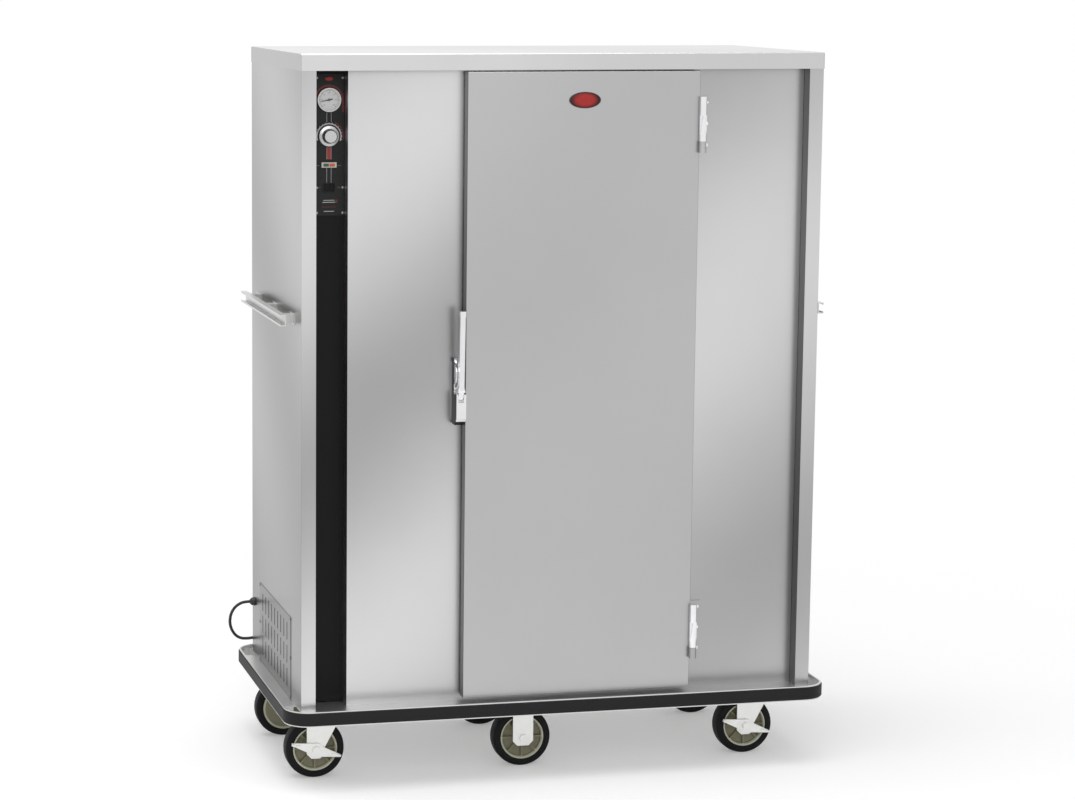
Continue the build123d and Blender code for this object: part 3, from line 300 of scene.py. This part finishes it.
def steel(name, dark, light, sheen_share, shaded_edge_planes=()):
    """Polished sheet between two tones, with painted sheen bands that climb to the right and painted shade
    on folded edges.
    """
    sheet = Surface(name)
    sheet_x, sheet_y, sheet_z = sheet.axes()
    grain = sheet.noise(60, stretch=(14, 14, 0.12), detail=6.0)
    smears = sheet.noise(2.2, detail=4.0)
    to_left = sheet.change(sheet_x, -0.25, 0.35, 1.0, 0.0, "LINEAR")
    # Painted sheen: broad bands of reflected light laid in the colour and mixed with the random smears.
    off_sheen = sheet_z - sheen_climb * sheet_x - sheen_drift * sheet_y - sheen_height + 0.2 * to_left
    spacing = sheen_spacing - 0.42 * to_left
    band = 0.5 + 0.5 * (off_sheen * (2 * math.pi) / spacing).cosine()
    smears_and_sheen = smears * (1 - sheen_share) + band * sheen_share
    tone = sheet.blend(smears_and_sheen, (dark, dark, dark * 1.01), (light, light, light * 1.01))
    # Painted shade on the folded edges inside the recesses, beside the posts and the door.
    for plane_x in shaded_edge_planes:
        on_shaded_edge = (abs(sheet_x - plane_x) < fold_reach) * (sheet_y < fold_front) * (sheet_z < fold_top)
        tone = sheet.blend(on_shaded_edge * fold_shade_share, tone, fold_shade_tone)
    # Painted shade: the side panels darken towards the floor.
    floor_shade = sheet.change(sheet_z, 0.3, 1.2, 0.74, 0.36)
    tone = sheet.blend((abs(sheet_x) > side_x - 0.0005) * floor_shade, tone, side_shade_tone)
    waves = sheet.noise(1.6, stretch=(1, 1, 0.5), detail=1.0)
    relief = sheet.bump(waves, 0.12, 0.004, over=sheet.bump(grain, 0.05, 0.0004))
    return sheet.shader(Base_Color=tone, Metallic=1.0, Roughness=0.24 + 0.07 * grain + 0.05 * smears,
                        Normal=relief)


# Each panel's dark and light tones are set to how bright it looks, so they paint in part of its light and
# shade.
dress(steel("polished_sheet", dark=0.34, light=0.68, sheen_share=0.75, shaded_edge_planes=(post_inside,)),
      "left_side_panel", "right_side_panel", "front_frame", "hinge_frame_leaves")
dress(steel("back_sheet", dark=0.40, light=0.54, sheen_share=0.35), "back_panel")
dress(steel("door_sheet", dark=0.43, light=0.50, sheen_share=0.3, shaded_edge_planes=(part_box("door_skin")[0].x,)),
      "door_skin")
dress(steel("cap_sheet", dark=0.53, light=0.66, sheen_share=0.3), "top_cap")
dress(steel("vent_sheet", dark=0.15, light=0.28, sheen_share=0.0), "vent_panel")


# Inside: the liner, the ledges and the heater's cover are folded from the same steel, plainer and duller,
# and spot-welded. Slabs of yellow glass wool fill the space behind the liners of the body and the door.
inner = Surface("plain_sheet")
inner_grain = inner.noise(60, stretch=(0.3, 14, 14), detail=4.0)
plain_sheet = inner.shader(Base_Color=inner.blend(inner_grain, (0.42, 0.42, 0.42), (0.5, 0.5, 0.5)),
                           Metallic=1.0, Roughness=0.36 + 0.1 * inner_grain,
                           Normal=inner.bump(inner_grain, 0.08, 0.0003))
dress(plain_sheet, "liner", "shelf_supports", "heater_cover", "door_liner", "latch_strike")
glass_wool = mottled("glass_wool", 90, dark=(0.55, 0.44, 0.16), light=(0.75, 0.66, 0.34), rough=0.95,
                     relief=(0.8, 0.003))
dress(glass_wool, "insulation", "door_insulation")


# Deck and bumper: a satin aluminium deck with a bent aluminium track screwed round it, which holds a strip
# of black rubber. The push rails and their brackets are aluminium too, and the door's gasket is rubber.
deck = Surface("satin_aluminium")
deck_grain = deck.noise(50, stretch=(0.4, 12, 12), detail=4.0)
deck_scuffs = deck.noise(14)
satin_aluminium = deck.shader(Base_Color=deck.blend(deck_scuffs, (0.62, 0.62, 0.61), (0.7, 0.7, 0.69)),
                              Metallic=1.0, Roughness=0.3 + 0.12 * deck_grain,
                              Normal=deck.bump(deck_grain, 0.06, 0.0003))
dress(satin_aluminium, "base_frame", "bumper_track", "push_rails", "push_brackets")
bumper_rubber = mottled("bumper_rubber", 260, dark=(0.010, 0.010, 0.011), light=(0.018, 0.018, 0.019),
                        rough=0.5, rougher=0.15, relief=(0.25, 0.0004), Specular_IOR_Level=0.2)
dress(bumper_rubber, "bumper_strip", "door_gasket")


# Caster steel: plates, forks and brake levers pressed from sheet and bright zinc plated, with the soft bloom
# and small scratches of plating. The plates are bolted under the deck.
zinc = Surface("bright_zinc")
zinc_bloom = zinc.noise(35)
zinc_scratch = zinc.noise(120, stretch=(1, 1, 9), detail=2.0)
caster_zinc = zinc.shader(Base_Color=zinc.blend(zinc_bloom, (0.74, 0.74, 0.72), (0.86, 0.86, 0.84)),
                          Metallic=0.9, Roughness=0.3 + 0.14 * zinc_bloom,
                          Normal=zinc.bump(zinc_scratch, 0.08, 0.0003))
dress(caster_zinc, "caster_plates", "rigid_casters")
for corner in ("fl", "fr", "rl", "rr"):
    dress(caster_zinc, f"fork_{corner}", f"brake_{corner}")


# Wheels: a moulded olive core with a pale rim and eight ribs on its outer face, and a black rubber tyre
# bonded round it. Each turns on an axle bolted through its fork.
wheel_radius = 0.0762
rim_radius = 0.057
rim_inner = 0.052
wheel_segments = 96
sharp_from = math.radians(35)
tyre_profile = [
    (rim_radius, -0.021), (0.064, -0.0215), (0.0715, -0.0205), (0.0752, -0.0175), (wheel_radius, -0.012),
    (wheel_radius, 0.012), (0.0752, 0.0175), (0.0715, 0.0205), (0.064, 0.0215), (rim_radius, 0.021),
]
core_profile = [
    (0.0066, 0.0262), (0.013, 0.0264), (0.0165, 0.0255), (0.018, 0.023), (0.0195, 0.014), (0.024, 0.0115),
    (0.046, 0.0085), (0.0505, 0.010), (rim_inner, 0.0175), (0.0535, 0.0215), (0.0555, 0.0225),
    (rim_radius, 0.0215), (rim_radius, -0.0205), (0.050, -0.0205), (0.018, -0.0262), (0.0066, -0.0262),
]
rib_count = 8
rib_seat = Matrix.Translation((0.0355, 0.0125, 0)) @ Matrix.Diagonal((0.035, 0.011, 0.0045, 1))


def skin(form, loops):
    """Faces between each closed loop of points and the next."""
    for first, second in zip(loops, loops[1:]):
        for k in range(len(first)):
            n = (k + 1) % len(first)
            form.faces.new((first[k], first[n], second[n], second[k]))


def meshed(name, form):
    """The mesh of a finished form."""
    mesh = bpy.data.meshes.new(name)
    form.to_mesh(mesh)
    form.free()
    return mesh


def lathe(name, profile):
    """A turned mesh about the Y axis from a closed profile of (radius, place along the axis) pairs."""
    form = bmesh.new()
    loops = []
    for k in range(wheel_segments):
        angle = 2 * math.pi * k / wheel_segments
        loops.append([form.verts.new((r * math.cos(angle), y, r * math.sin(angle))) for r, y in profile])
    skin(form, loops + loops[:1])
    bmesh.ops.recalc_face_normals(form, faces=form.faces)
    for face in form.faces:
        face.smooth = True
    for edge in form.edges:
        edge.smooth = edge.calc_face_angle(0) < sharp_from
    return meshed(name, form)


def add_ribs(mesh):
    """Sets the ribs on the outer face of a wheel's core."""
    form = bmesh.new()
    form.from_mesh(mesh)
    for k in range(rib_count):
        turn = Matrix.Rotation(2 * math.pi * k / rib_count, 4, "Y")
        bmesh.ops.create_cube(form, size=1, matrix=turn @ rib_seat)
    form.to_mesh(mesh)
    form.free()


def piece(name, mesh, material, body, replaced=()):
    """Puts a modelled mesh in the scene as a piece of the object."""
    thing = bpy.data.objects.new(name, mesh)
    scene.collection.objects.link(thing)
    mesh.materials.clear()
    mesh.materials.append(material)
    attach(thing, body)
    if replaced:
        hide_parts(*replaced)
    return thing


tyre_rubber = mottled("tyre_rubber", 60, dark=(0.005, 0.005, 0.0055), light=(0.012, 0.012, 0.012), rough=0.5,
                      rougher=0.2, relief=(0.2, 0.0004), Specular_IOR_Level=0.15)

core = Surface("moulded_core")
core_x, _, core_z = core.axes()
core_reach = (core_x * core_x + core_z * core_z) ** 0.5
core_mottle = core.noise(45)
core_dish = core.blend(core_mottle, (0.20, 0.19, 0.115), (0.30, 0.28, 0.19))
core_rim = core.blend(core_mottle, (0.58, 0.59, 0.45), (0.68, 0.68, 0.54))
moulded_core = core.shader(Base_Color=core.blend(core_reach > rim_inner - 0.0005, core_dish, core_rim),
                           Roughness=0.45 + 0.15 * core_mottle, Normal=core.bump(core_mottle, 0.15, 0.0005))

for place in ("fl", "fm", "fr", "rl", "rm", "rr"):
    wheel = f"wheel_{place}"
    tyre_mesh = lathe(f"tyre_{place}", tyre_profile)
    core_mesh = lathe(f"core_{place}", core_profile)
    add_ribs(core_mesh)
    tyre = piece(f"tyre_{place}", tyre_mesh, tyre_rubber, wheel, [wheel])
    hub = piece(f"core_{place}", core_mesh, moulded_core, wheel)
    low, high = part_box(wheel)
    outer_face = Matrix.Rotation(math.pi if place[0] == "f" else 0, 4, "Z")
    tyre.matrix_world = Matrix.Translation((low + high) / 2) @ outer_face
    hub.matrix_world = Matrix.Translation((low + high) / 2) @ outer_face


# Shelves and heater: loose shelves welded from bright plated bars, and below them dark strip elements and a
# pressed, plated fan, which are screwed behind the heater's cover.
plated_bars = mottled("plated_bars", 40, dark=(0.6, 0.6, 0.61), light=(0.7, 0.7, 0.71), rough=0.16,
                      rougher=0.1, Metallic=1.0)
dress(plated_bars, "wire_shelves", "fan_rotor")
strip_element = mottled("strip_element", 80, dark=(0.05, 0.045, 0.04), light=(0.12, 0.11, 0.10), rough=0.5,
                        rougher=0.2, Metallic=0.7)
dress(strip_element, "heating_element")


# Control panel: a column of sheet in satin black paint carries a matt black laminate panel. The thermostat's
# body, the rocker and the dial's needle have the same satin black, and so has the fan's motor.
satin_black = mottled("satin_black", 400, dark=(0.007, 0.007, 0.0075), light=(0.011, 0.011, 0.0115),
                      rough=0.36, rougher=0.08, relief=(0.12, 0.0003), Specular_IOR_Level=0.12)
dress(satin_black, "fan_motor", "thermostat_body", "control_column", "rocker_switch", "thermometer_needle")
panel_laminate = mottled("panel_laminate", 700, dark=(0.014, 0.016, 0.015), light=(0.022, 0.024, 0.022),
                         rough=0.42, rougher=0.1, relief=(0.15, 0.0002), Specular_IOR_Level=0.2)
dress(panel_laminate, "control_panel")


# Bright hardware: the latch and the door's halves of the hinges are castings in polished chrome plate, and
# are screwed on. The latch's left end and its lowest strip carry a painted dark reflection and shade.
chrome_plate = mottled("chrome_plate", 30, dark=(0.76, 0.76, 0.77), light=(0.88, 0.88, 0.89), rough=0.10,
                       rougher=0.1, Metallic=1.0)
dress(chrome_plate, "hinge_door_leaves")

latch = Surface("latch_chrome")
latch_x, _, latch_z = latch.axes()
latch_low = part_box("latch_body")[0]
# Painted dark reflection and shade on the latch's left end and its lowest strip, which are rougher too.
dark_side_to_x = latch_low.x + 0.0012
dark_strip_to_z = latch_low.z + 0.009
painted_dark_side = 1 - (latch_x > dark_side_to_x) * (latch_z > dark_strip_to_z)
latch_haze = latch.noise(30)
latch_tone = latch.blend(latch_haze, (0.72, 0.72, 0.73), (0.84, 0.84, 0.85))
latch_painted_dark = (0.035, 0.035, 0.036)
latch_chrome = latch.shader(Base_Color=latch.blend(painted_dark_side, latch_tone, latch_painted_dark), Metallic=1.0,
                            Roughness=0.10 + 0.1 * latch_haze + 0.25 * painted_dark_side)
dress(latch_chrome, "latch_body", "latch_pull")


# Printing on the control panel: pale, grey, red and maroon screen ink, a hair thick, on the laminate. It has
# plain lines, bars, a scale of ticks round the knob, and OFF and ON beside the switch.
panel_x = -0.5859
panel_face = -0.2550
dial_z, knob_z, pilot_z, rocker_z = 1.723, 1.634, 1.563, 1.507
ink_height = 0.00012
capital_share = 0.7


def bar(left, right, low, high):
    """A straight band of ink as its two long edges, from the panel's centre line and the floor."""
    return [(left, low), (right, low)], [(left, high), (right, high)]


def arc(centre_z, inner, outer, start, end, steps=48):
    """A curved band of ink about a point on the panel's centre line, between two angles in degrees."""
    angles = [math.radians(start + (end - start) * k / steps) for k in range(steps + 1)]
    return [[(r * math.cos(a), centre_z + r * math.sin(a)) for a in angles] for r in (inner, outer)]


def printed(name, material, bands, words=(), face=panel_face):
    """Ink on an upright face: bands, and words as (text, x, z, height)."""
    form = bmesh.new()
    for near, far in bands:
        rows = [[form.verts.new((panel_x + x, face, z)) for x, z in side] for side in (near, far)]
        for k in range(len(near) - 1):
            form.faces.new((rows[0][k], rows[0][k + 1], rows[1][k + 1], rows[1][k]))
    lifted = bmesh.ops.extrude_face_region(form, geom=form.faces[:])["geom"]
    lifted = [part for part in lifted if isinstance(part, bmesh.types.BMVert)]
    bmesh.ops.translate(form, verts=lifted, vec=(0, -ink_height, 0))
    for text, x, z, height in words:
        outline = bpy.data.curves.new("letters", "FONT")
        outline.body = text
        outline.size = height / capital_share
        outline.extrude = ink_height / 2
        outline.align_x = "CENTER"
        outline.align_y = "CENTER"
        letters = bpy.data.objects.new("letters", outline)
        flat = bpy.data.meshes.new_from_object(letters)
        middle = Matrix.Translation((panel_x + x, face - ink_height / 2, z))
        flat.transform(middle @ Matrix.Rotation(math.pi / 2, 4, "X"))
        form.from_mesh(flat)
        bpy.data.objects.remove(letters)
    bmesh.ops.recalc_face_normals(form, faces=form.faces)
    return piece(name, meshed(name, form), material, "cabinet")


pale_ink = mottled("pale_ink", 900, dark=(0.46, 0.46, 0.44), light=(0.66, 0.66, 0.63), rough=0.55)
red_ink = mottled("red_ink", 900, dark=(0.34, 0.022, 0.018), light=(0.44, 0.035, 0.026), rough=0.5)
maroon_ink = mottled("maroon_ink", 900, dark=(0.10, 0.008, 0.009), light=(0.16, 0.014, 0.014), rough=0.5)
grey_ink = mottled("grey_ink", 900, dark=(0.12, 0.12, 0.12), light=(0.20, 0.20, 0.20), rough=0.6)

line_left, line_right = ((side * 0.0055 - 0.0004, side * 0.0055 + 0.0004) for side in (-1, 1))
red_bar_low, red_bar_high = 1.577, 1.6065
double_lines = [bar(*line, low, high) for line in (line_left, line_right)
                for low, high in ((1.668, 1.691), (1.519, 1.5565))]
red_bar_edges = [bar(*line, red_bar_low, red_bar_high) for line in (line_left, line_right)]
knob_ticks = []
for k, degrees in enumerate(range(-15, 196, 15)):
    tick_end = 0.0335 if k % 2 else 0.0342
    knob_ticks.append(arc(knob_z, 0.0319, tick_end, degrees - 1.1, degrees + 1.1, 2))
knob_sweep = arc(knob_z, 0.0289, 0.0318, -22, 200)
lower_lines = [bar(-0.014, 0.014, 1.4752, 1.4764), bar(-0.016, 0.016, 1.4700, 1.4716),
               bar(-0.013, 0.013, 1.4478, 1.4492)]
dial_foot = dial_z - 0.030
dial_surround = [arc(dial_z, 0.0325, 0.0372, 0, 180), bar(-0.0372, -0.0333, dial_foot, dial_z),
                 bar(0.0325, 0.0372, dial_foot, dial_z)]
knob_surround = arc(knob_z, 0.0346, 0.0376, -14, 66)
mark_low, mark_high = pilot_z - 0.0022, pilot_z - 0.0010
switch_words = [("OFF", -0.0255, rocker_z, 0.0034), ("ON", 0.0245, rocker_z, 0.0034)]

printed("panel_lines", pale_ink, double_lines + [knob_sweep] + knob_ticks + lower_lines)
printed("panel_maroon", maroon_ink, dial_surround + [knob_surround, bar(0.0165, 0.0215, 1.4690, 1.4770),
                                                     bar(-0.017, 0.017, 1.4585, 1.4597)])
printed("panel_red_bar", red_ink, [bar(-0.0046, 0.0046, red_bar_low, red_bar_high)])
printed("panel_bar_edges", pale_ink, red_bar_edges)
printed("panel_marks", grey_ink,
        [bar(-0.031, -0.024, mark_low, mark_high), bar(0.022, 0.031, mark_low, mark_high)], switch_words)


# Dial thermometer: a bright pressed bezel crimped round a glass and a white dial, which has black ticks and
# figures printed on it. It is clamped in the panel from behind.
gauge = Surface("gauge_metal")
gauge_x, gauge_y, gauge_z = gauge.axes()
gauge_reach = ((gauge_x - panel_x) ** 2 + (gauge_z - dial_z) ** 2) ** 0.5
dial_radius = 0.0269
dial_plane = -0.2560
on_dial = (gauge_reach < dial_radius) * (gauge_y < dial_plane + 0.0005)
dial_white = gauge.blend(gauge.noise(260), (0.86, 0.86, 0.84), (0.93, 0.93, 0.91))
dress(gauge.shader(Base_Color=gauge.blend(on_dial, (0.50, 0.50, 0.51), dial_white), Metallic=1 - on_dial,
                   Roughness=0.14 + 0.4 * on_dial), "thermometer_case")

dial_ink = mottled("dial_ink", 900, dark=(0.02, 0.02, 0.02), light=(0.05, 0.05, 0.05), rough=0.6)
dial_start = 225
dial_sweep = 270
small_steps = 54
small_steps_per_figure = 9
figure_ring = 0.0175
dial_ticks = []
dial_figures = []
for k in range(small_steps + 1):
    degrees = dial_start - dial_sweep * k / small_steps
    if k % small_steps_per_figure == 0:
        tick_start, tick_half = 0.0212, 1.3
        figure = str(10 + 40 * k // small_steps_per_figure)
        turn = math.radians(degrees)
        figure_x, figure_z = figure_ring * math.cos(turn), dial_z + figure_ring * math.sin(turn)
        dial_figures.append((figure, figure_x, figure_z, 0.0027))
    else:
        tick_start, tick_half = 0.0225, 0.6
    dial_ticks.append(arc(dial_z, tick_start, 0.0245, degrees - tick_half, degrees + tick_half, 2))
printed("dial_scale", dial_ink, dial_ticks, dial_figures, dial_plane)

glass = Surface("gauge_glass")
glass_film = glass.noise(60)
dress(glass.shader(Base_Color=(0.92, 0.94, 0.94), Roughness=0.03 + 0.03 * glass_film, Alpha=0.05,
                   Coat_Weight=0.6), "thermometer_glass")


# Thermostat knob: a moulded black grip with a skirt of spun aluminium round its foot and a bright disc
# pressed into its nose. It is pushed on the thermostat's spindle.
knob = Surface("knob_plastic")
knob_x, knob_y, knob_up = knob.axes()
knob_reach = ((knob_x - panel_x) ** 2 + (knob_up - knob_z) ** 2) ** 0.5
skirt_inner, skirt_outer = 0.0184, 0.0249
nose_radius = 0.0148
nose_plane = -0.2784
on_skirt = (knob_reach > skirt_inner) * (1 - (knob_reach > skirt_outer))
on_nose = (knob_reach < nose_radius) * (knob_y < nose_plane)
bright_part = on_skirt + on_nose - on_skirt * on_nose
from_spindle = knob.node("VectorMath", {"operation": "SUBTRACT"}, {0: knob.place(), 1: (panel_x, 0, knob_z)})
spun = knob.node("TexWave", {"wave_type": "RINGS", "rings_direction": "Y"},
                 {"Vector": from_spindle, "Scale": 900.0})
dress(knob.shader(Base_Color=knob.blend(bright_part, (0.014, 0.014, 0.014), (0.52, 0.52, 0.52)),
                  Metallic=bright_part, Roughness=0.34 - 0.1 * bright_part + 0.08 * spun), "thermostat_knob")


# Pilot lamps: a moulded pale bezel snapped into the panel, with a green lens and a red one. The lenses are
# moulded from coloured plastic, and ribbed on their backs.
pilot = Surface("lamp_plastic")
pilot_x, _, pilot_up = pilot.axes()
lens_side = pilot_x - panel_x
lens_centre = 0.0076
lens_half_wide, lens_half_high = 0.00668, 0.00368
in_lens = (abs(abs(lens_side) - lens_centre) < lens_half_wide) * (abs(pilot_up - pilot_z) < lens_half_high)
lens_ribs = pilot.node("TexWave", {"bands_direction": "X"}, {"Vector": pilot.place(), "Scale": 260.0})
green_lens = pilot.blend(lens_ribs, (0.010, 0.05, 0.016), (0.02, 0.10, 0.03))
red_lens = pilot.blend(lens_ribs, (0.62, 0.05, 0.02), (0.80, 0.11, 0.045))
lens_colour = pilot.blend(lens_side > 0, green_lens, red_lens)
dress(pilot.shader(Base_Color=pilot.blend(in_lens, (0.62, 0.61, 0.54), lens_colour),
                   Roughness=0.38 - 0.22 * in_lens, Coat_Weight=0.5 * in_lens), "pilot_lights")


# Badges: plain red enamelled ovals, a large one with a dark plated rim on the door and a small one at the
# top of the panel. Both are stamped plates, fixed with adhesive.
oval_sides = 64
rim_rings = [(1.0, 0.0), (1.0, 0.0013), (0.985, 0.0018), (0.955, 0.0018), (0.94, 0.0012)]
face_rings = [(0.945, 0.0009), (0.94, 0.0013), (0.8, 0.0018), (0.55, 0.0022), (0.25, 0.0024)]
small_face_rings = [(share, height / 3) for share, height in face_rings]
door_badge = (0.045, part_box("door_skin")[0].y, 1.722)
panel_badge = (panel_x, panel_face, 1.7745)
door_badge_half = (0.041, 0.0205)
panel_badge_half = (0.0135, 0.0058)


def oval(name, centre, half, rings, material, body):
    """A shallow oval form that stands out towards the front, from (share of the outline, height) pairs."""
    half_wide, half_high = half
    form = bmesh.new()
    loops = []
    for share, height in rings:
        loop = []
        for k in range(oval_sides):
            turn = 2 * math.pi * k / oval_sides
            loop.append(form.verts.new((centre[0] + share * half_wide * math.cos(turn), centre[1] - height,
                                        centre[2] + share * half_high * math.sin(turn))))
        loops.append(loop)
    skin(form, loops)
    form.faces.new(loops[0])
    form.faces.new(loops[-1])
    bmesh.ops.recalc_face_normals(form, faces=form.faces)
    for face in form.faces:
        face.smooth = len(face.verts) == 4
    return piece(name, meshed(name, form), material, body)


def enamelled(name, centre, half):
    """Red enamel that darkens towards the outline of its oval, most at its ends, as painted shade of its
    dome.
    """
    half_wide, half_high = half
    surface = Surface(name)
    oval_x, _, oval_z = surface.axes()
    reach = ((oval_x - centre[0]) / half_wide) ** 2 + 0.75 * ((oval_z - centre[2]) / half_high) ** 2
    red_tone = surface.blend(surface.noise(80), (0.36, 0.022, 0.020), (0.44, 0.034, 0.030))
    # Painted shade: the enamel darkens towards the outline of the domed oval.
    edge = surface.change(reach, 0.15, 0.82, 0, 1)
    return surface.shader(Base_Color=surface.blend(edge, red_tone, (0.025, 0.003, 0.004)), Roughness=0.35,
                          Specular_IOR_Level=0.3)


rim_plate = mottled("rim_plate", 200, dark=(0.07, 0.06, 0.06), light=(0.13, 0.11, 0.11), rough=0.2,
                    rougher=0.15, Metallic=1.0)
oval("door_badge_rim", door_badge, door_badge_half, rim_rings, rim_plate, "door")
oval("door_badge_face", door_badge, door_badge_half, face_rings,
     enamelled("door_enamel", door_badge, door_badge_half), "door")
oval("panel_badge_face", panel_badge, panel_badge_half, small_face_rings,
     enamelled("panel_enamel", panel_badge, panel_badge_half), "cabinet")


# Small fasteners: cross-head steel screws hold the panel, the vent cover and the hinge leaves, and plated
# hex bolts hold the caster plates from below.
screw_sides = 16
screw_rings = [(1.0, 0.0), (1.0, 0.55), (0.82, 0.85), (0.45, 1.0)]
bolt_sides = 6
bolt_rings = [(1.0, 0.0), (1.0, 0.88), (0.9, 1.0)]
to_front = (0, -1, 0)
to_left_side = (-1, 0, 0)
to_floor = (0, 0, -1)


def heads(name, places, facing, radius, height, material, crossed=True):
    """Screw or bolt heads that stand on a face: domed with a cross recess, or six-sided and plain."""
    sides = screw_sides if crossed else bolt_sides
    rings = screw_rings if crossed else bolt_rings
    corners = [(math.cos(2 * math.pi * k / sides), math.sin(2 * math.pi * k / sides)) for k in range(sides)]
    recess_floor = 0.65 * height
    recess_corner = 0.9 * height
    recess_radius = 0.22 * radius
    stand = Vector(facing).to_track_quat("Z", "Y").to_matrix().to_4x4()
    form = bmesh.new()
    for place in places:
        seat = Matrix.Translation(place) @ stand
        loops = []
        for share, rise in rings:
            ring = [Vector((share * radius * x, share * radius * y, rise * height)) for x, y in corners]
            loops.append([form.verts.new(seat @ point) for point in ring])
        form.faces.new(loops[0])
        if crossed:
            ring = [Vector((recess_radius * x, recess_radius * y, recess_corner if k % 4 else recess_floor))
                    for k, (x, y) in enumerate(corners)]
            loops.append([form.verts.new(seat @ point) for point in ring])
            middle = form.verts.new(seat @ Vector((0, 0, recess_floor)))
            for k in range(sides):
                form.faces.new((loops[-1][k], loops[-1][(k + 1) % sides], middle))
        else:
            form.faces.new(loops[-1])
        skin(form, loops)
    bmesh.ops.recalc_face_normals(form, faces=form.faces)
    return piece(name, meshed(name, form), material, "cabinet")


screw_steel = mottled("screw_steel", 500, dark=(0.22, 0.22, 0.22), light=(0.38, 0.38, 0.38), rough=0.3,
                      rougher=0.2, Metallic=1.0)
panel_screws = [(x, panel_face, z) for x in (-0.6163, -0.5514) for z in (1.777, 1.507, 1.4445)]
heads("panel_screws", panel_screws, to_front, 0.0030, 0.0014, screw_steel)
vent_screws = [(-0.6725, y, z) for y in (-0.199, 0.219) for z in (0.410, 0.309, 0.210)]
heads("vent_screws", vent_screws, to_left_side, 0.0042, 0.0020, screw_steel)
hinge_screws = [(0.3765, -0.3015, low + rise) for low in (0.294, 1.589) for rise in (0.016, 0.070, 0.124)]
heads("hinge_screws", hinge_screws, to_front, 0.0040, 0.0018, chrome_plate)
plate_centres = [(x, y) for x in (-0.576, -0.067, 0.576) for y in (-0.206, 0.206)]
plate_corners = [(x, y) for x in (-0.041, 0.041) for y in (-0.034, 0.034)]
caster_bolts = [(x + dx, y + dy, 0.196) for x, y in plate_centres for dx, dy in plate_corners]
heads("caster_bolts", caster_bolts, to_floor, 0.0075, 0.005, caster_zinc, crossed=False)


# Floor: plain white paper that keeps the soft shadow near the object and fades into a white background
# farther off. Only the rays that look at it see the added white, so it puts no more light on the object.
floor_reach = 14
floor_corners = [(x * floor_reach, y * floor_reach, 0) for x, y in ((-1, -1), (1, -1), (1, 1), (-1, 1))]
white = (1.0, 1.0, 1.0)


def looked_at(surface):
    """One for the rays that come from the camera, a gloss or a glass, and zero for the others."""
    from_camera = surface.node("LightPath", out="Is Camera Ray")
    from_gloss = surface.node("LightPath", out="Is Glossy Ray")
    from_glass = surface.node("LightPath", out="Is Transmission Ray")
    return from_camera.or_more(from_gloss).or_more(from_glass)


floor_mesh = bpy.data.meshes.new("floor")
floor_mesh.from_pydata(floor_corners, [], [(0, 1, 2, 3)])
floor = bpy.data.objects.new("floor", floor_mesh)
scene.collection.objects.link(floor)
paper = Surface("white_paper")
floor_mesh.materials.append(paper.shader(Base_Color=(0.8, 0.8, 0.8), Roughness=0.9))
seen = looked_at(paper)
paper_x, paper_y, _ = paper.axes()
from_middle = (paper_x ** 2 + paper_y ** 2) ** 0.5
far = paper.change(from_middle, 1.3, 3.0, 0.0, 1.0)
lit_paper = Wire(paper, paper.tree.nodes["Principled BSDF"].outputs[0])
near_glow = paper.node("Emission", {}, {"Color": white, "Strength": 0.27 * seen})
near_floor = paper.node("AddShader", {}, {0: lit_paper, 1: near_glow})
far_floor = paper.node("Emission", {}, {"Color": white, "Strength": 1.0})
whole_floor = paper.node("MixShader", {}, {0: far * seen, 1: near_floor, 2: far_floor})
paper.fill(paper.tree.nodes["Material Output"], {"Surface": whole_floor})


# Studio: an even white room with two large soft lamps, one over the object and one in front of it. The room
# looks white, and lights the object half as strongly.
class Room(Surface):
    """The world's own nodes, made as a finish's are."""

    def __init__(self, name):
        self.world = bpy.data.worlds.new(name)
        self.world.use_nodes = True
        self.tree = self.world.node_tree


studio = Room("studio")
scene.world = studio.world
backdrop = studio.tree.nodes["Background"]
studio.fill(backdrop, {"Color": white, "Strength": 1.0})
ambient = studio.node("Background", {}, {"Color": white, "Strength": 0.5})
room = studio.node("MixShader", {}, {0: looked_at(studio), 1: ambient, 2: Wire(studio, backdrop.outputs[0])})
studio.fill(studio.tree.nodes["World Output"], {"Surface": room})


def soft_box(name, place, target, width, height, power):
    """A large soft lamp that faces its target."""
    lamp = bpy.data.lights.new(name, "AREA")
    lamp.shape = "RECTANGLE"
    lamp.size = width
    lamp.size_y = height
    lamp.energy = power
    thing = bpy.data.objects.new(name, lamp)
    facing = (Vector(target) - Vector(place)).to_track_quat("-Z", "Y")
    thing.matrix_world = Matrix.Translation(place) @ facing.to_matrix().to_4x4()
    scene.collection.objects.link(thing)


soft_box("top_lamp", (-0.8, -0.4, 5.2), (0, 0, 0), width=5.0, height=4.0, power=180)
soft_box("front_lamp", (-1.0, -7.5, 4.5), (0, 0, 1.0), width=5.0, height=4.0, power=90)

scene.view_settings.view_transform = "Standard"
